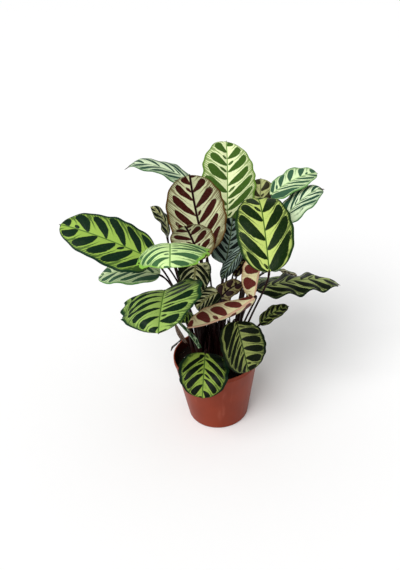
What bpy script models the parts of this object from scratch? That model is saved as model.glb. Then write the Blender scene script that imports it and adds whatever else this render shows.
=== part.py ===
"""A calathea with peacock-patterned leaves, growing in a 14 cm plastic nursery pot.

Metres, +Z up, origin at the middle of the pot's flat foot, front of the plant towards -Y.
"""

import math
from collections import namedtuple

import bmesh
import bpy
import numpy as np
from mathutils import Vector

MM = 0.001

# Pot: a thin tapered shell with a rim band, all in millimetres
POT_HEIGHT = 120.0
RIM_RADIUS = 70.0
RIM_BAND = 7.0
RIM_STEP = 1.3
LIP_WIDTH, LIP_ROUND = 2.0, 0.5
FOOT_RADIUS = 51.6
FOOT_ROUND = 3.0
WALL = 1.5
CHANNEL_INNER, CHANNEL_OUTER, CHANNEL_RISE = 31.0, 45.0, 2.5
DRAIN_HOLES, DRAIN_RADIUS, DRAIN_SIDES, DRAIN_TURN = 8, 4.0, 10, math.radians(11)
POT_STEPS = 44

# Potting soil, which fills the pot to a little below its rim
SOIL_TOP = 106.0
SOIL_GAP = 0.5
SOIL_DIP = 4.0
SOIL_MOUND = 3.0
SOIL_BUMP = 1.0
SOIL_FOOT_STEP = 1.2
SOIL_RINGS, SOIL_SECTORS = 6, 28

# Shoots: each is a clump of leaf stalks that share one sheathed foot in the soil
SHOOT_DEPTH = 26.0
SHOOT_RADIUS = 7.5
SHOOT_NECK = 5.0
SHOOT_COLLAR = 16.0
SHOOT_SIDES = 12
HOLE_CLEARANCE = 1.3
HOLE_FLOOR_GAP = 0.4
STALK_TOP_RADIUS = 1.5
STALK_FOOT_RADIUS = 2.5
STALK_POINTS = 9
STALK_SPREAD = 3.4
FOOT_HANDLE = 0.45
STALK_LEAN = 0.06
STALK_ENDS_DENSER = 0.07

# Leaf blades
BLADE_THICK = 0.9
MIDRIB_THICK = 2.0
STALK_JOINT_GAP = 0.8
STEM_HALF_WIDTH = 1.3
TIP_SHARE = 0.97
TIP_HALF_WIDTH = 1.1
FULLNESS = 2.3
WAVE_SIDE_SHIFT = 1.1
BLADE_STATIONS, BLADE_LANES = 10, 3
SMALL_WIDTH, SMALL_STATIONS, SMALL_LANES = 30, 8, 2

# Where each shoot rises from the soil, as (x, y)
SHOOTS = {
    "left": (-30.0, 4.0),
    "front_left": (-20.0, -24.0),
    "front_right": (14.0, -28.0),
    "right": (34.0, -9.0),
    "far_right": (30.0, 18.0),
    "back": (7.0, 31.0),
    "back_left": (-19.0, 27.0),
    "middle": (2.0, 0.0),
}

# One leaf. base and tip are where the blade's midrib begins and ends, and face is the way its patterned
# upper side looks. arch bows the midrib towards that side, and sway bows it to the right. left and right
# are each half's slope at the midrib and at the margin, in degrees. wave is the margin's height, count
# and phase. belly is where the blade is widest, curl is how far the tip bends back, twist turns the
# blade about its midrib, reach is the length of the stalk's last straight stretch, and swing moves the
# stalk's upper part to clear the blade or the rim.
Leaf = namedtuple(
    "Leaf", "name shoot base tip width face arch left right wave belly curl sway twist reach swing"
)


def leaf(name, shoot, base, tip, width, face, arch=8, left=(14, -16), right=(14, -16),
         wave=(2.0, 2.5, 0.0), belly=0.45, curl=0.04, sway=0, twist=0, reach=26, swing=(0, 0, 0)):
    return Leaf(name, shoot, base, tip, width, face, arch, left, right, wave, belly, curl, sway, twist,
                reach, swing)


LEAVES = [
    leaf("far_left", "left", (-84, -10, 308), (-214, 5, 370), 78, (0.0, -0.6, 0.8), belly=0.4, twist=8),
    leaf("low_left", "left", (-79, 25, 262), (-181, 45, 257), 64, (0.0, -0.15, 1.0)),
    leaf("arched_left", "front_left", (-57, -30, 337), (-52, -135, 370), 106, (0.12, 0.1, 1.0), arch=12,
         left=(8, -30), right=(5, -70), wave=(4.0, 3.0, 0.3), curl=0.1),
    leaf("front_left", "front_left", (-67, -70, 291), (-74, -160, 287), 122, (0.05, -0.1, 1.0), arch=6,
         left=(30, 32), right=(22, -54), wave=(5.0, 2.0, 0.55), belly=0.45, curl=0.08),
    leaf("top_left", "back_left", (-4, 63, 382), (-112, 80, 432), 72, (0.4, 0.0, 0.9), curl=0.08),
    leaf("top", "back", (32, 85, 317), (40, 147, 432), 93, (0.1, -0.8, 0.5), left=(35, 0), right=(5, -15)),
    leaf("tall_reverse", "middle", (-5, 22, 296), (-22, 26, 424), 88, (0.0, 1.0, 0.1), belly=0.49, sway=3),
    leaf("small_reverse", "middle", (-15, 5, 293), (-34, -15, 363), 64, (0.0, 1.0, 0.1)),
    leaf("upper_right", "far_right", (99, 70, 362), (170, 70, 396), 48, (-0.3, -0.4, 0.88)),
    leaf("outer_right", "far_right", (114, 40, 332), (173, 50, 380), 50, (-0.55, -0.4, 0.75)),
    leaf("front_right", "right", (79, -60, 303), (77, 42, 391), 82, (0.0, -0.7, 0.7), curl=0.3),
    leaf("long_right", "right", (66, -15, 247), (198, 0, 246), 70, (0.0, 0.12, 1.0), left=(5, -25),
         right=(0, -25), wave=(4.5, 3.5, 0.0)),
    leaf("back_right_low", "far_right", (84, 50, 238), (143, 60, 220), 44, (0.2, 0.5, 0.8)),
    leaf("small_right", "right", (72, -10, 180), (119, 0, 205), 24, (-0.3, -0.5, 0.8)),
    leaf("rim_right", "front_right", (32, -56, 220), (44, -102, 160), 70, (0.0, -0.85, 0.5), left=(5, -20),
         right=(35, 15)),
    leaf("rim_left", "front_left", (-17, -68, 175), (-26, -125, 137), 74, (0.0, -0.6, 0.8),
         left=(20, -10), right=(10, 0)),
    leaf("hanging_reverse", "far_right", (74, -30, 313), (60, -38, 245), 56, (0.15, 1.0, 0.0),
         left=(15, 45), right=(95, 130), belly=0.5, swing=(0, 90, 0)),
    leaf("rolled_reverse", "front_right", (59, -60, 263), (-42, -91, 237), 54, (0.15, 0.34, -0.94),
         arch=0, left=(15, 40), right=(75, 125), sway=9, twist=-60, reach=24),
    leaf("inner_reverse", "middle", (2, -26, 227), (47, -5, 257), 52, (-0.4, 0.85, 0.3), reach=20),
    leaf("centre_upper", "front_left", (-22, -12, 297), (-28, -57, 270), 52, (0.0, -0.6, 0.8),
         left=(38, 10), right=(38, 10)),
    leaf("centre_lower", "front_right", (8, -32, 258), (-26, -48, 241), 34, (0.0, -0.5, 0.85), left=(30, 0),
         right=(24, 0), reach=14),
    leaf("centre_small", "front_left", (-31, -50, 233), (-50, -75, 238), 24, (0.0, -0.4, 0.9)),
    leaf("young_back_left", "left", (-63, 60, 309), (-84, 60, 363), 34, (0.9, -0.3, 0.3)),
    leaf("behind_right", "back", (86, 114, 312), (91, 118, 374), 56, (0.0, -0.9, 0.4)),
    leaf("middle_upright", "middle", (25, 45, 262), (40, 62, 335), 60, (0.0, -0.9, 0.3)),
    leaf("brown_reverse", "far_right", (61, 13, 289), (36, 13, 256), 22, (0.2, 1.0, 0.0), left=(10, 30),
         right=(10, 30)),
    leaf("middle_droop", "far_right", (52, 24, 300), (14, 5, 258), 21, (0.3, -0.5, 0.8)),
    leaf("young_front", "front_left", (-26, -42, 166), (-56, -45, 221), 14, (0.5, -0.8, 0.3),
         left=(60, 80), right=(60, 80)),
    leaf("back_high_right", "back", (45, 105, 290), (72, 185, 325), 70, (0.0, 0.3, 0.95)),
    leaf("back_high_left", "back_left", (-12, 105, 285), (-38, 175, 318), 64, (0.0, 0.3, 0.95)),
    leaf("low_back_left", "back_left", (-30, 92, 88), (-80, 60, 85), 20, (-0.3, 0.6, 0.75),
         swing=(0, 0, 90)),
    leaf("dry_sheath", "left", (-46, 12, 134), (-63, 12, 176), 10, (-0.5, -0.8, 0.3), arch=3,
         wave=(0.5, 1.0, 0.0), reach=12),
    leaf("back_left", "back_left", (-72, 85, 246), (-160, 145, 258), 66, (0.0, 0.45, 0.9)),
    leaf("back_right", "far_right", (78, 70, 205), (132, 142, 165), 62, (0.0, 0.5, 0.87)),
    leaf("back_low", "back", (-14, 75, 185), (-26, 150, 140), 60, (0.0, 0.5, 0.87)),
    leaf("back_middle", "back", (48, 100, 248), (62, 174, 256), 58, (0.0, 0.3, 0.95)),
    leaf("back_small", "back_left", (-58, 76, 180), (-112, 100, 168), 44, (0.0, 0.45, 0.9)),
]


def unit(v):
    return v / np.linalg.norm(v)


def outline(s, belly):
    """Half width along the midrib as a share of the widest, with a narrow drip tip past TIP_SHARE."""
    lean = math.log(0.5) / math.log(belly / TIP_SHARE)
    x = 2.0 * np.clip(s / TIP_SHARE, 0.0, 1.0) ** lean - 1.0
    return np.sqrt(np.clip(1.0 - np.abs(x) ** FULLNESS, 0.0, 1.0))


def half_width(lf, s):
    """Half width in mm: never narrower than the stalk at the base or the drip tip at the end."""
    tapered = STEM_HALF_WIDTH + (TIP_HALF_WIDTH - STEM_HALF_WIDTH) * s
    narrowest = tapered - 0.5 * TIP_HALF_WIDTH * s**12
    return np.maximum(0.5 * lf.width * outline(s, lf.belly), narrowest)


def midrib(lf, s):
    """(points, tangents, upper-side directions, rightward directions) of the midrib at each s, 0 to 1."""
    base, tip = np.array(lf.base, float), np.array(lf.tip, float)
    chord = tip - base
    along = unit(chord)
    face = np.array(lf.face, float)
    up = unit(face - (face @ along) * along)
    right = np.cross(along, up)
    s = s[:, None]
    bow, steep = 4.0 * s * (1.0 - s), 4.0 * (1.0 - 2.0 * s)
    bend = lf.curl * np.linalg.norm(chord)
    points = base + s * chord + (lf.arch * bow - bend * s**6) * up + lf.sway * bow * right
    tangents = chord + (lf.arch * steep - 6.0 * bend * s**5) * up + lf.sway * steep * right
    tangents = tangents / np.linalg.norm(tangents, axis=1, keepdims=True)
    side = np.cross(tangents, up)
    side = side / np.linalg.norm(side, axis=1, keepdims=True)
    over = np.cross(side, tangents)
    turn = np.radians(lf.twist) * s
    return (points, tangents,
            np.cos(turn) * over + np.sin(turn) * side,
            np.cos(turn) * side - np.sin(turn) * over)


def swept(angles, x):
    """Sideways and upward travel, per half width, where the slope turns evenly from midrib to margin."""
    first, last = np.radians(angles[0]), np.radians(angles[1])
    turn = last - first
    slope = first + turn * x
    return (np.sin(slope) - np.sin(first)) / turn, (np.cos(first) - np.cos(slope)) / turn


def blade_points(lf, s, q):
    """Points of the upper surface in mm, one for each pair of s (0 base, 1 tip) and q (-1 left, 1 right)."""
    points, _, up, right = midrib(lf, s)
    side = np.sign(q)
    x = np.abs(q)
    wide = half_width(lf, s)
    over_l, rise_l = swept(lf.left, x)
    over_r, rise_r = swept(lf.right, x)
    over = np.where(q < 0, over_l, over_r) * wide
    rise = np.where(q < 0, rise_l, rise_r) * wide
    height, count, phase = lf.wave
    fullness = wide / (0.5 * lf.width)
    swell = np.sin(2 * np.pi * (count * s + phase) + WAVE_SIDE_SHIFT * side)
    rise = rise + height * x**2 * fullness * swell
    return points + (side * over)[:, None] * right + rise[:, None] * up


def stations(count):
    """Places along the midrib, closer together towards the two rounded ends."""
    t = np.linspace(0.0, 1.0, count + 1)
    return t + 0.11 * np.sin(2 * np.pi * (t - 0.5)) * (1.0 - 0.25 * t)


def clear_scene():
    for found in list(bpy.data.objects):
        bpy.data.objects.remove(found, do_unlink=True)


def collection(name):
    made = bpy.data.collections.new(name)
    bpy.context.scene.collection.children.link(made)
    return made


def material(name, colour, roughness):
    made = bpy.data.materials.new(name)
    made.use_nodes = True
    shader = made.node_tree.nodes["Principled BSDF"]
    shader.inputs["Base Color"].default_value = (*colour, 1.0)
    shader.inputs["Roughness"].default_value = roughness
    shader.inputs["Metallic"].default_value = 0.0
    return made


def add_object(name, mesh, into, look=None):
    made = bpy.data.objects.new(name, mesh)
    into.objects.link(made)
    if look:
        mesh.materials.append(look)
    return made


def move_to(obj, into):
    for owner in list(obj.users_collection):
        owner.objects.unlink(obj)
    into.objects.link(obj)


def applied(obj):
    """Replaces the object's mesh by its evaluated one, and drops its modifiers."""
    bpy.context.view_layer.update()
    graph = bpy.context.evaluated_depsgraph_get()
    mesh = bpy.data.meshes.new_from_object(obj.evaluated_get(graph))
    obj.modifiers.clear()
    obj.data = mesh


def cutter_rod(name, sides, radius, depth, place, into):
    """An upright cylinder in mm that only serves to cut, kept out of the render."""
    bpy.ops.mesh.primitive_cylinder_add(
        vertices=sides, radius=radius * MM, depth=depth * MM, location=Vector(place) * MM
    )
    rod = bpy.context.object
    rod.name = name
    move_to(rod, into)
    rod.hide_render = True
    rod.display_type = "WIRE"
    return rod


def cut(obj, cutter):
    """Cuts the cutter out of the object now, and removes the cutter."""
    boolean = obj.modifiers.new(cutter.name, "BOOLEAN")
    boolean.operation = "DIFFERENCE"
    boolean.object = cutter
    boolean.solver = "EXACT"
    applied(obj)
    bpy.data.objects.remove(cutter, do_unlink=True)


def turned(name, profile, steps, into, look):
    """A solid turned about Z from a closed (radius, height) profile in mm, given down its outer side."""
    mesh = bpy.data.meshes.new(name)
    edges = [(i, i + 1) for i in range(len(profile) - 1)]
    mesh.from_pydata([(r * MM, 0.0, z * MM) for r, z in profile], edges, [])
    made = add_object(name, mesh, into, look)
    screw = made.modifiers.new("Turn", "SCREW")
    screw.axis = "Z"
    screw.steps = screw.render_steps = steps
    screw.use_merge_vertices = True
    screw.merge_threshold = 1e-5
    screw.use_smooth_shade = True
    return made


def wall_radius(z):
    """Outer radius of the pot's wall below its rim band."""
    return FOOT_RADIUS + (RIM_RADIUS - RIM_STEP - FOOT_RADIUS) * z / (POT_HEIGHT - RIM_BAND)


def build_pot(into, cutters, look):
    """The shell: floor with a raised ring channel, tapered wall, rim band, foot ring and drain holes."""
    band_foot = POT_HEIGHT - RIM_BAND
    floor = CHANNEL_RISE + WALL
    foot_floor = 1.4 * WALL
    foot_turn = [math.radians(degrees) for degrees in (0, 30, 60, 90)]
    profile = [
        (0.0, WALL),
        (CHANNEL_INNER - WALL, WALL),
        (CHANNEL_INNER, floor),
        (CHANNEL_OUTER, floor),
        (CHANNEL_OUTER + WALL, foot_floor),
        (FOOT_RADIUS - FOOT_ROUND, foot_floor),
        (wall_radius(floor + WALL) - WALL, floor + WALL),
        (wall_radius(band_foot) - WALL, band_foot),
        (RIM_RADIUS - LIP_WIDTH, POT_HEIGHT - LIP_ROUND),
        (RIM_RADIUS - LIP_WIDTH + LIP_ROUND, POT_HEIGHT),
        (RIM_RADIUS - LIP_ROUND, POT_HEIGHT),
        (RIM_RADIUS, POT_HEIGHT - LIP_ROUND),
        (RIM_RADIUS - 0.5 * LIP_ROUND, band_foot),
        (wall_radius(band_foot), band_foot - LIP_ROUND),
        *[(FOOT_RADIUS - FOOT_ROUND * (1 - math.cos(a)), FOOT_ROUND * (1 - math.sin(a))) for a in foot_turn],
        (CHANNEL_OUTER, 0.0),
        (CHANNEL_OUTER - WALL, CHANNEL_RISE),
        (CHANNEL_INNER + WALL, CHANNEL_RISE),
        (CHANNEL_INNER, 0.0),
        (0.0, 0.0),
    ]
    pot = turned("pot", profile, POT_STEPS, into, look)
    applied(pot)
    middle = 0.5 * (CHANNEL_INNER + CHANNEL_OUTER)
    for i in range(DRAIN_HOLES):
        angle = 2 * math.pi * i / DRAIN_HOLES + DRAIN_TURN
        place = (middle * math.cos(angle), middle * math.sin(angle), floor)
        cut(pot, cutter_rod(f"drain_{i}", DRAIN_SIDES, DRAIN_RADIUS, 4 * floor, place, cutters))


def soil_radius(z):
    """Inner radius of the pot at this height, less the gap."""
    return wall_radius(z) - WALL - SOIL_GAP


def soil_height(x, y):
    """Height of the soil's top, in mm: a slight mound with soft lumps."""
    sunk = (x * x + y * y) / soil_radius(SOIL_TOP) ** 2
    lumps = math.sin(0.21 * x + 1.3) * math.cos(0.17 * y) + 0.5 * math.sin(0.37 * y + 0.11 * x)
    return SOIL_TOP - 0.5 * SOIL_DIP + SOIL_MOUND * (1.0 - sunk) + SOIL_BUMP * lumps


def soil_ring(mesh, radius, height_at):
    """A ring of vertices at this radius in mm, each at the height that height_at gives for its x and y."""
    ring = []
    for j in range(SOIL_SECTORS):
        angle = 2 * math.pi * j / SOIL_SECTORS
        x, y = radius * math.cos(angle), radius * math.sin(angle)
        ring.append(mesh.verts.new((x * MM, y * MM, height_at(x, y) * MM)))
    return ring


def build_soil(into, cutters, look):
    """A tapered plug with a gently uneven top, and a plain hole for each shoot."""
    mesh = bmesh.new()
    widest = soil_radius(SOIL_TOP - SOIL_DIP)
    rings = [soil_ring(mesh, widest * k / SOIL_RINGS, soil_height) for k in range(1, SOIL_RINGS + 1)]
    foot = CHANNEL_RISE + WALL + SOIL_GAP
    rings.append(soil_ring(mesh, soil_radius(foot) - SOIL_FOOT_STEP, lambda x, y: foot))
    top = mesh.verts.new((0, 0, soil_height(0, 0) * MM))
    for j in range(SOIL_SECTORS):
        k = (j + 1) % SOIL_SECTORS
        mesh.faces.new((top, rings[0][j], rings[0][k]))
        for inner, outer in zip(rings, rings[1:]):
            mesh.faces.new((inner[j], outer[j], outer[k], inner[k]))
    mesh.faces.new(rings[-1][::-1])
    bmesh.ops.recalc_face_normals(mesh, faces=mesh.faces)
    bmesh.ops.triangulate(mesh, faces=mesh.faces)
    data = bpy.data.meshes.new("soil")
    mesh.to_mesh(data)
    mesh.free()
    soil = add_object("soil", data, into, look)
    radius, depth = SHOOT_RADIUS + HOLE_CLEARANCE, SHOOT_DEPTH + HOLE_FLOOR_GAP
    for name, (x, y) in SHOOTS.items():
        cut(soil, cutter_rod("hole_" + name, SHOOT_SIDES, radius, 2 * depth, (x, y, SOIL_TOP), cutters))


def bezier(controls, t):
    """The point at t, from 0 to 1, of the smooth curve that these control points pull."""
    while len(controls) > 1:
        controls = [(1.0 - t) * a + t * b for a, b in zip(controls, controls[1:])]
    return controls[0]


def stalk_path(lf, slot, count):
    """Points of a leaf stalk, from deep in its shoot's foot to just short of its blade."""
    x, y = SHOOTS[lf.shoot]
    points, tangents, up, _ = midrib(lf, np.array([0.0]))
    base, heading = points[0] - 0.5 * MIDRIB_THICK * up[0], tangents[0]
    bearing = math.atan2(base[1] - y, base[0] - x)
    spread = STALK_SPREAD * (0.55 + 0.45 * (slot % 2))
    foot = np.array([
        x + spread * math.cos(bearing), y + spread * math.sin(bearing), SOIL_TOP - 0.5 * SHOOT_DEPTH
    ])
    end = base - STALK_JOINT_GAP * heading
    rise = base[2] - foot[2] + lf.swing[2]
    outward = np.array([base[0] - x, base[1] - y, 0.0]) * STALK_LEAN
    first = foot + np.array([0.0, 0.0, FOOT_HANDLE * rise]) + outward
    last = end - lf.reach * heading
    controls = [foot, first, last, end]
    if any(lf.swing):
        controls.insert(2, last + np.array(lf.swing))
    even = np.linspace(0.0, 1.0, count)
    return [bezier(controls, t) for t in even - STALK_ENDS_DENSER * np.sin(2 * math.pi * even)]


def tube(name, points, radii, into):
    """A round stalk as a mesh, from a curve that is swept, capped, welded and removed."""
    curve = bpy.data.curves.new(name, "CURVE")
    curve.dimensions = "3D"
    curve.bevel_depth = MM
    curve.bevel_resolution = 1
    curve.use_fill_caps = True
    spline = curve.splines.new("POLY")
    spline.points.add(len(points) - 1)
    for place, point, radius in zip(spline.points, points, radii):
        place.co = (*(Vector(point) * MM), 1.0)
        place.radius = radius
    guide = bpy.data.objects.new(name + "_path", curve)
    into.objects.link(guide)
    bpy.context.view_layer.update()
    graph = bpy.context.evaluated_depsgraph_get()
    mesh = bpy.data.meshes.new_from_object(guide.evaluated_get(graph))
    welded = bmesh.new()
    welded.from_mesh(mesh)
    bmesh.ops.remove_doubles(welded, verts=welded.verts, dist=1e-6)
    bmesh.ops.recalc_face_normals(welded, faces=welded.faces)
    welded.to_mesh(mesh)
    welded.free()
    bpy.data.objects.remove(guide, do_unlink=True)
    add_object(name, mesh, into)


def build_shoot(name, leaves, into, look):
    """The shoot's sheathed foot, with every stalk that rises from it joined on."""
    x, y = SHOOTS[name]
    low, high = SOIL_TOP - SHOOT_DEPTH, SOIL_TOP + SHOOT_COLLAR
    bpy.ops.mesh.primitive_cone_add(
        vertices=SHOOT_SIDES, radius1=SHOOT_RADIUS * MM, radius2=SHOOT_NECK * MM, depth=(high - low) * MM,
        location=(x * MM, y * MM, 0.5 * (low + high) * MM),
    )
    shoot = bpy.context.object
    shoot.name = "stalks_" + name
    move_to(shoot, into)
    shoot.data.materials.append(look)
    stalks = collection("stalks of " + name)
    share = np.linspace(0.0, 1.0, STALK_POINTS)
    radii = STALK_TOP_RADIUS + (STALK_FOOT_RADIUS - STALK_TOP_RADIUS) * (1.0 - share) ** 2
    for slot, lf in enumerate(leaves):
        tube("stalk_" + lf.name, stalk_path(lf, slot, STALK_POINTS), radii, stalks)
    boolean = shoot.modifiers.new("Join stalks", "BOOLEAN")
    boolean.operation = "UNION"
    boolean.operand_type = "COLLECTION"
    boolean.collection = stalks
    boolean.solver = "MANIFOLD"
    applied(shoot)
    for found in list(stalks.objects):
        bpy.data.objects.remove(found, do_unlink=True)
    bpy.data.collections.remove(stalks)


def build_blade(lf, into, look):
    """The blade as an open waved surface, thickened on its lower side and thickest along the midrib."""
    small = lf.width <= SMALL_WIDTH
    half = SMALL_LANES if small else BLADE_LANES
    rows = stations(SMALL_STATIONS if small else BLADE_STATIONS)
    lanes = np.linspace(-1.0, 1.0, 2 * half + 1)
    s, q = np.repeat(rows, len(lanes)), np.tile(lanes, len(rows))
    mesh = bmesh.new()
    verts = [mesh.verts.new(place) for place in blade_points(lf, s, q) * MM]
    wide = len(lanes)
    for i in range(len(rows) - 1):
        for j in range(wide - 1):
            a, b = verts[i * wide + j], verts[i * wide + j + 1]
            d, c = verts[(i + 1) * wide + j], verts[(i + 1) * wide + j + 1]
            mesh.faces.new((a, b, c) if j < half else (a, b, d))
            mesh.faces.new((a, c, d) if j < half else (b, c, d))
    data = bpy.data.meshes.new("leaf_" + lf.name)
    mesh.to_mesh(data)
    mesh.free()
    data.shade_smooth()
    blade = add_object("leaf_" + lf.name, data, into, look)
    rib = blade.vertex_groups.new(name="midrib")
    rib.add([i for i, lane in enumerate(q) if abs(lane) < 1e-6], 1.0, "REPLACE")
    shell = blade.modifiers.new("Thickness", "SOLIDIFY")
    shell.thickness = MIDRIB_THICK * MM
    shell.offset = -1.0
    shell.vertex_group = "midrib"
    shell.thickness_vertex_group = BLADE_THICK / MIDRIB_THICK


def build():
    clear_scene()
    plant = collection("potted calathea")
    cutters = collection("cutters")
    clay = material("terracotta plastic", (0.42, 0.10, 0.055), 0.45)
    earth = material("potting soil", (0.022, 0.013, 0.009), 0.95)
    leaf_green = material("patterned leaf", (0.20, 0.34, 0.06), 0.40)
    stalk_red = material("stalk", (0.07, 0.025, 0.02), 0.50)
    build_pot(plant, cutters, clay)
    build_soil(plant, cutters, earth)
    for name in SHOOTS:
        build_shoot(name, [lf for lf in LEAVES if lf.shoot == name], plant, stalk_red)
    for lf in LEAVES:
        build_blade(lf, plant, leaf_green)
    bpy.data.collections.remove(cutters)


build()
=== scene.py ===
# %% [markdown]
# A potted calathea
#
# The plant is a peacock calathea, about 43 cm tall with its pot: 37 thin leaf blades, each on its own
# wiry stalk, in a plain terracotta-coloured nursery pot. The pot, the soil, the stalks and the blades
# already exist as simple solids. This lesson dresses them: every solid is replaced by a finer piece of
# the same size, in the same place, and gets a finish that is worked out by nodes.

# %% Load the solid model
import math

import bpy
import numpy as np
from mathutils import Euler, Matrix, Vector


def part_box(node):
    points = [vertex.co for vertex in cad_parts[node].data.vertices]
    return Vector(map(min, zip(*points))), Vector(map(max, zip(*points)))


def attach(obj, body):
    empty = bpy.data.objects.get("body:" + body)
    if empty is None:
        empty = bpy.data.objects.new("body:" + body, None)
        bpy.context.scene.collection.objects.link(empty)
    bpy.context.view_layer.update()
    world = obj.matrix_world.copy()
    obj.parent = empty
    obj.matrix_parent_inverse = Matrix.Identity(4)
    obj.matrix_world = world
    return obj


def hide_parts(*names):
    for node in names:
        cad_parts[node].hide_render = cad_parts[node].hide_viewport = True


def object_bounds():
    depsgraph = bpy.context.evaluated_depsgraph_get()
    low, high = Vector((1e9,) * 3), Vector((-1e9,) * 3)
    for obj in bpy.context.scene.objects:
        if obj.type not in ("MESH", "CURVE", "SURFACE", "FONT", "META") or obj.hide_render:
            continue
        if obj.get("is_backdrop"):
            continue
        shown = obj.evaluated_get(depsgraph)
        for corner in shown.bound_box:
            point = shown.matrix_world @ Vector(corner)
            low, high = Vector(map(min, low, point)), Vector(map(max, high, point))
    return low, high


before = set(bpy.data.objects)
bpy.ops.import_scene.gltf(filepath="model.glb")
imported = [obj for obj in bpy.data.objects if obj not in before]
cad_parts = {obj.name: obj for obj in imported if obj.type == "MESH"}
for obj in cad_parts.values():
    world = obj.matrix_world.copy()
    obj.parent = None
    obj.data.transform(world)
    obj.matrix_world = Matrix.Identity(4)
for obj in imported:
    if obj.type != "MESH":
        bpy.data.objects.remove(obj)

MM = 0.001
BODY = "root"
solid_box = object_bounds()
print(f"{len(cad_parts)} solids, {solid_box[1].z - solid_box[0].z:.3f} m tall")

# %% [markdown]
# The camera
#
# A camera is a place, a direction and a focal length. The two ellipses of the pot, at its rim and at its
# foot, settle all three, because their flatness tells how steeply the lens looks down and the taper
# between them tells how far away it stands. Here that gives a viewpoint 70 cm away and 68 cm up, looking
# 31 degrees down, with the horizon turned by about 4 degrees.

# %% Set up the camera
CAMERA_PLACE = (-0.018, -0.707, 0.678)
LOOK_DOWN = 31.0
LENS_ROLL = -3.9
FOCAL_PIXELS, PICTURE_HEIGHT = 540, 570
SENSOR = 36.0

camera = bpy.data.objects.new("Camera", bpy.data.cameras.new("Camera"))
bpy.context.scene.collection.objects.link(camera)
camera.data.sensor_width = SENSOR
camera.data.lens = FOCAL_PIXELS / PICTURE_HEIGHT * SENSOR
camera.location = CAMERA_PLACE
facing = Euler((math.radians(90 - LOOK_DOWN), 0, 0)).to_matrix()
rolled = Euler((0, 0, math.radians(LENS_ROLL))).to_matrix()
camera.rotation_euler = (facing @ rolled).to_euler()
bpy.context.scene.camera = camera
print(f"a {camera.data.lens:.1f} mm lens at {CAMERA_PLACE}")

# %% [markdown]
# Floor and light
#
# A plant on a white table is lit from everywhere: a white sky fills the shadows between the leaves, and
# one large soft lamp above the front gives the blades their shape. The floor is a plain pale disc, wide
# enough to fill the view up to the horizon. Colours are shown with the Standard view, so that the greens
# keep the strength that they are given.

# %% Make the stage
FLOOR_RADIUS = 120.0
FLOOR_COLOUR = (0.93, 0.93, 0.93, 1)
SKY_STRENGTH = 0.5
KEY_STRENGTH = 2.6
KEY_FROM = (-0.55, -0.75, 1.0)
KEY_SOFTNESS = 42
TABLE_ROUGHNESS, TABLE_SPECULAR = 0.8, 0.12


def new_material(name, roughness, specular):
    """A new material, with its node tree and its Principled shader."""
    made = bpy.data.materials.new(name)
    made.use_nodes = True
    shader = made.node_tree.nodes["Principled BSDF"]
    shader.inputs["Roughness"].default_value = roughness
    shader.inputs["Specular IOR Level"].default_value = specular
    return made, made.node_tree, shader


table, _, table_shader = new_material("pale table", TABLE_ROUGHNESS, TABLE_SPECULAR)
table_shader.inputs["Base Color"].default_value = FLOOR_COLOUR
bpy.ops.mesh.primitive_circle_add(vertices=96, radius=FLOOR_RADIUS, fill_type="NGON")
floor = bpy.context.object
floor.name = "floor"
floor.data.materials.append(table)
floor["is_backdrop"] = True

sky = bpy.data.worlds.new("white studio")
bpy.context.scene.world = sky
sky.use_nodes = True
sky.node_tree.nodes["Background"].inputs["Color"].default_value = (1, 1, 1, 1)
sky.node_tree.nodes["Background"].inputs["Strength"].default_value = SKY_STRENGTH

key = bpy.data.objects.new("key", bpy.data.lights.new("key", "SUN"))
bpy.context.scene.collection.objects.link(key)
key.data.energy = KEY_STRENGTH
key.data.angle = math.radians(KEY_SOFTNESS)
key.rotation_euler = (-Vector(KEY_FROM)).to_track_quat("-Z", "Y").to_euler()

bpy.context.scene.view_settings.view_transform = "Standard"
print(f"floor {2 * FLOOR_RADIUS:.0f} m across, key light {KEY_SOFTNESS} degrees wide")

# %% [markdown]
# A short way to write nodes
#
# Both Geometry Nodes and shaders are trees of small sums. Linking each Math node by hand takes four lines
# a sum, so this helper wraps an output socket in a class whose operators add the nodes: a * b + c on two
# wires makes a Multiply and an Add node, and links them. The trees stay ordinary trees, which anyone can
# open and edit in Blender.

# %% Define a wire
MATH, VECTOR_MATH = "ShaderNodeMath", "ShaderNodeVectorMath"


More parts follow.
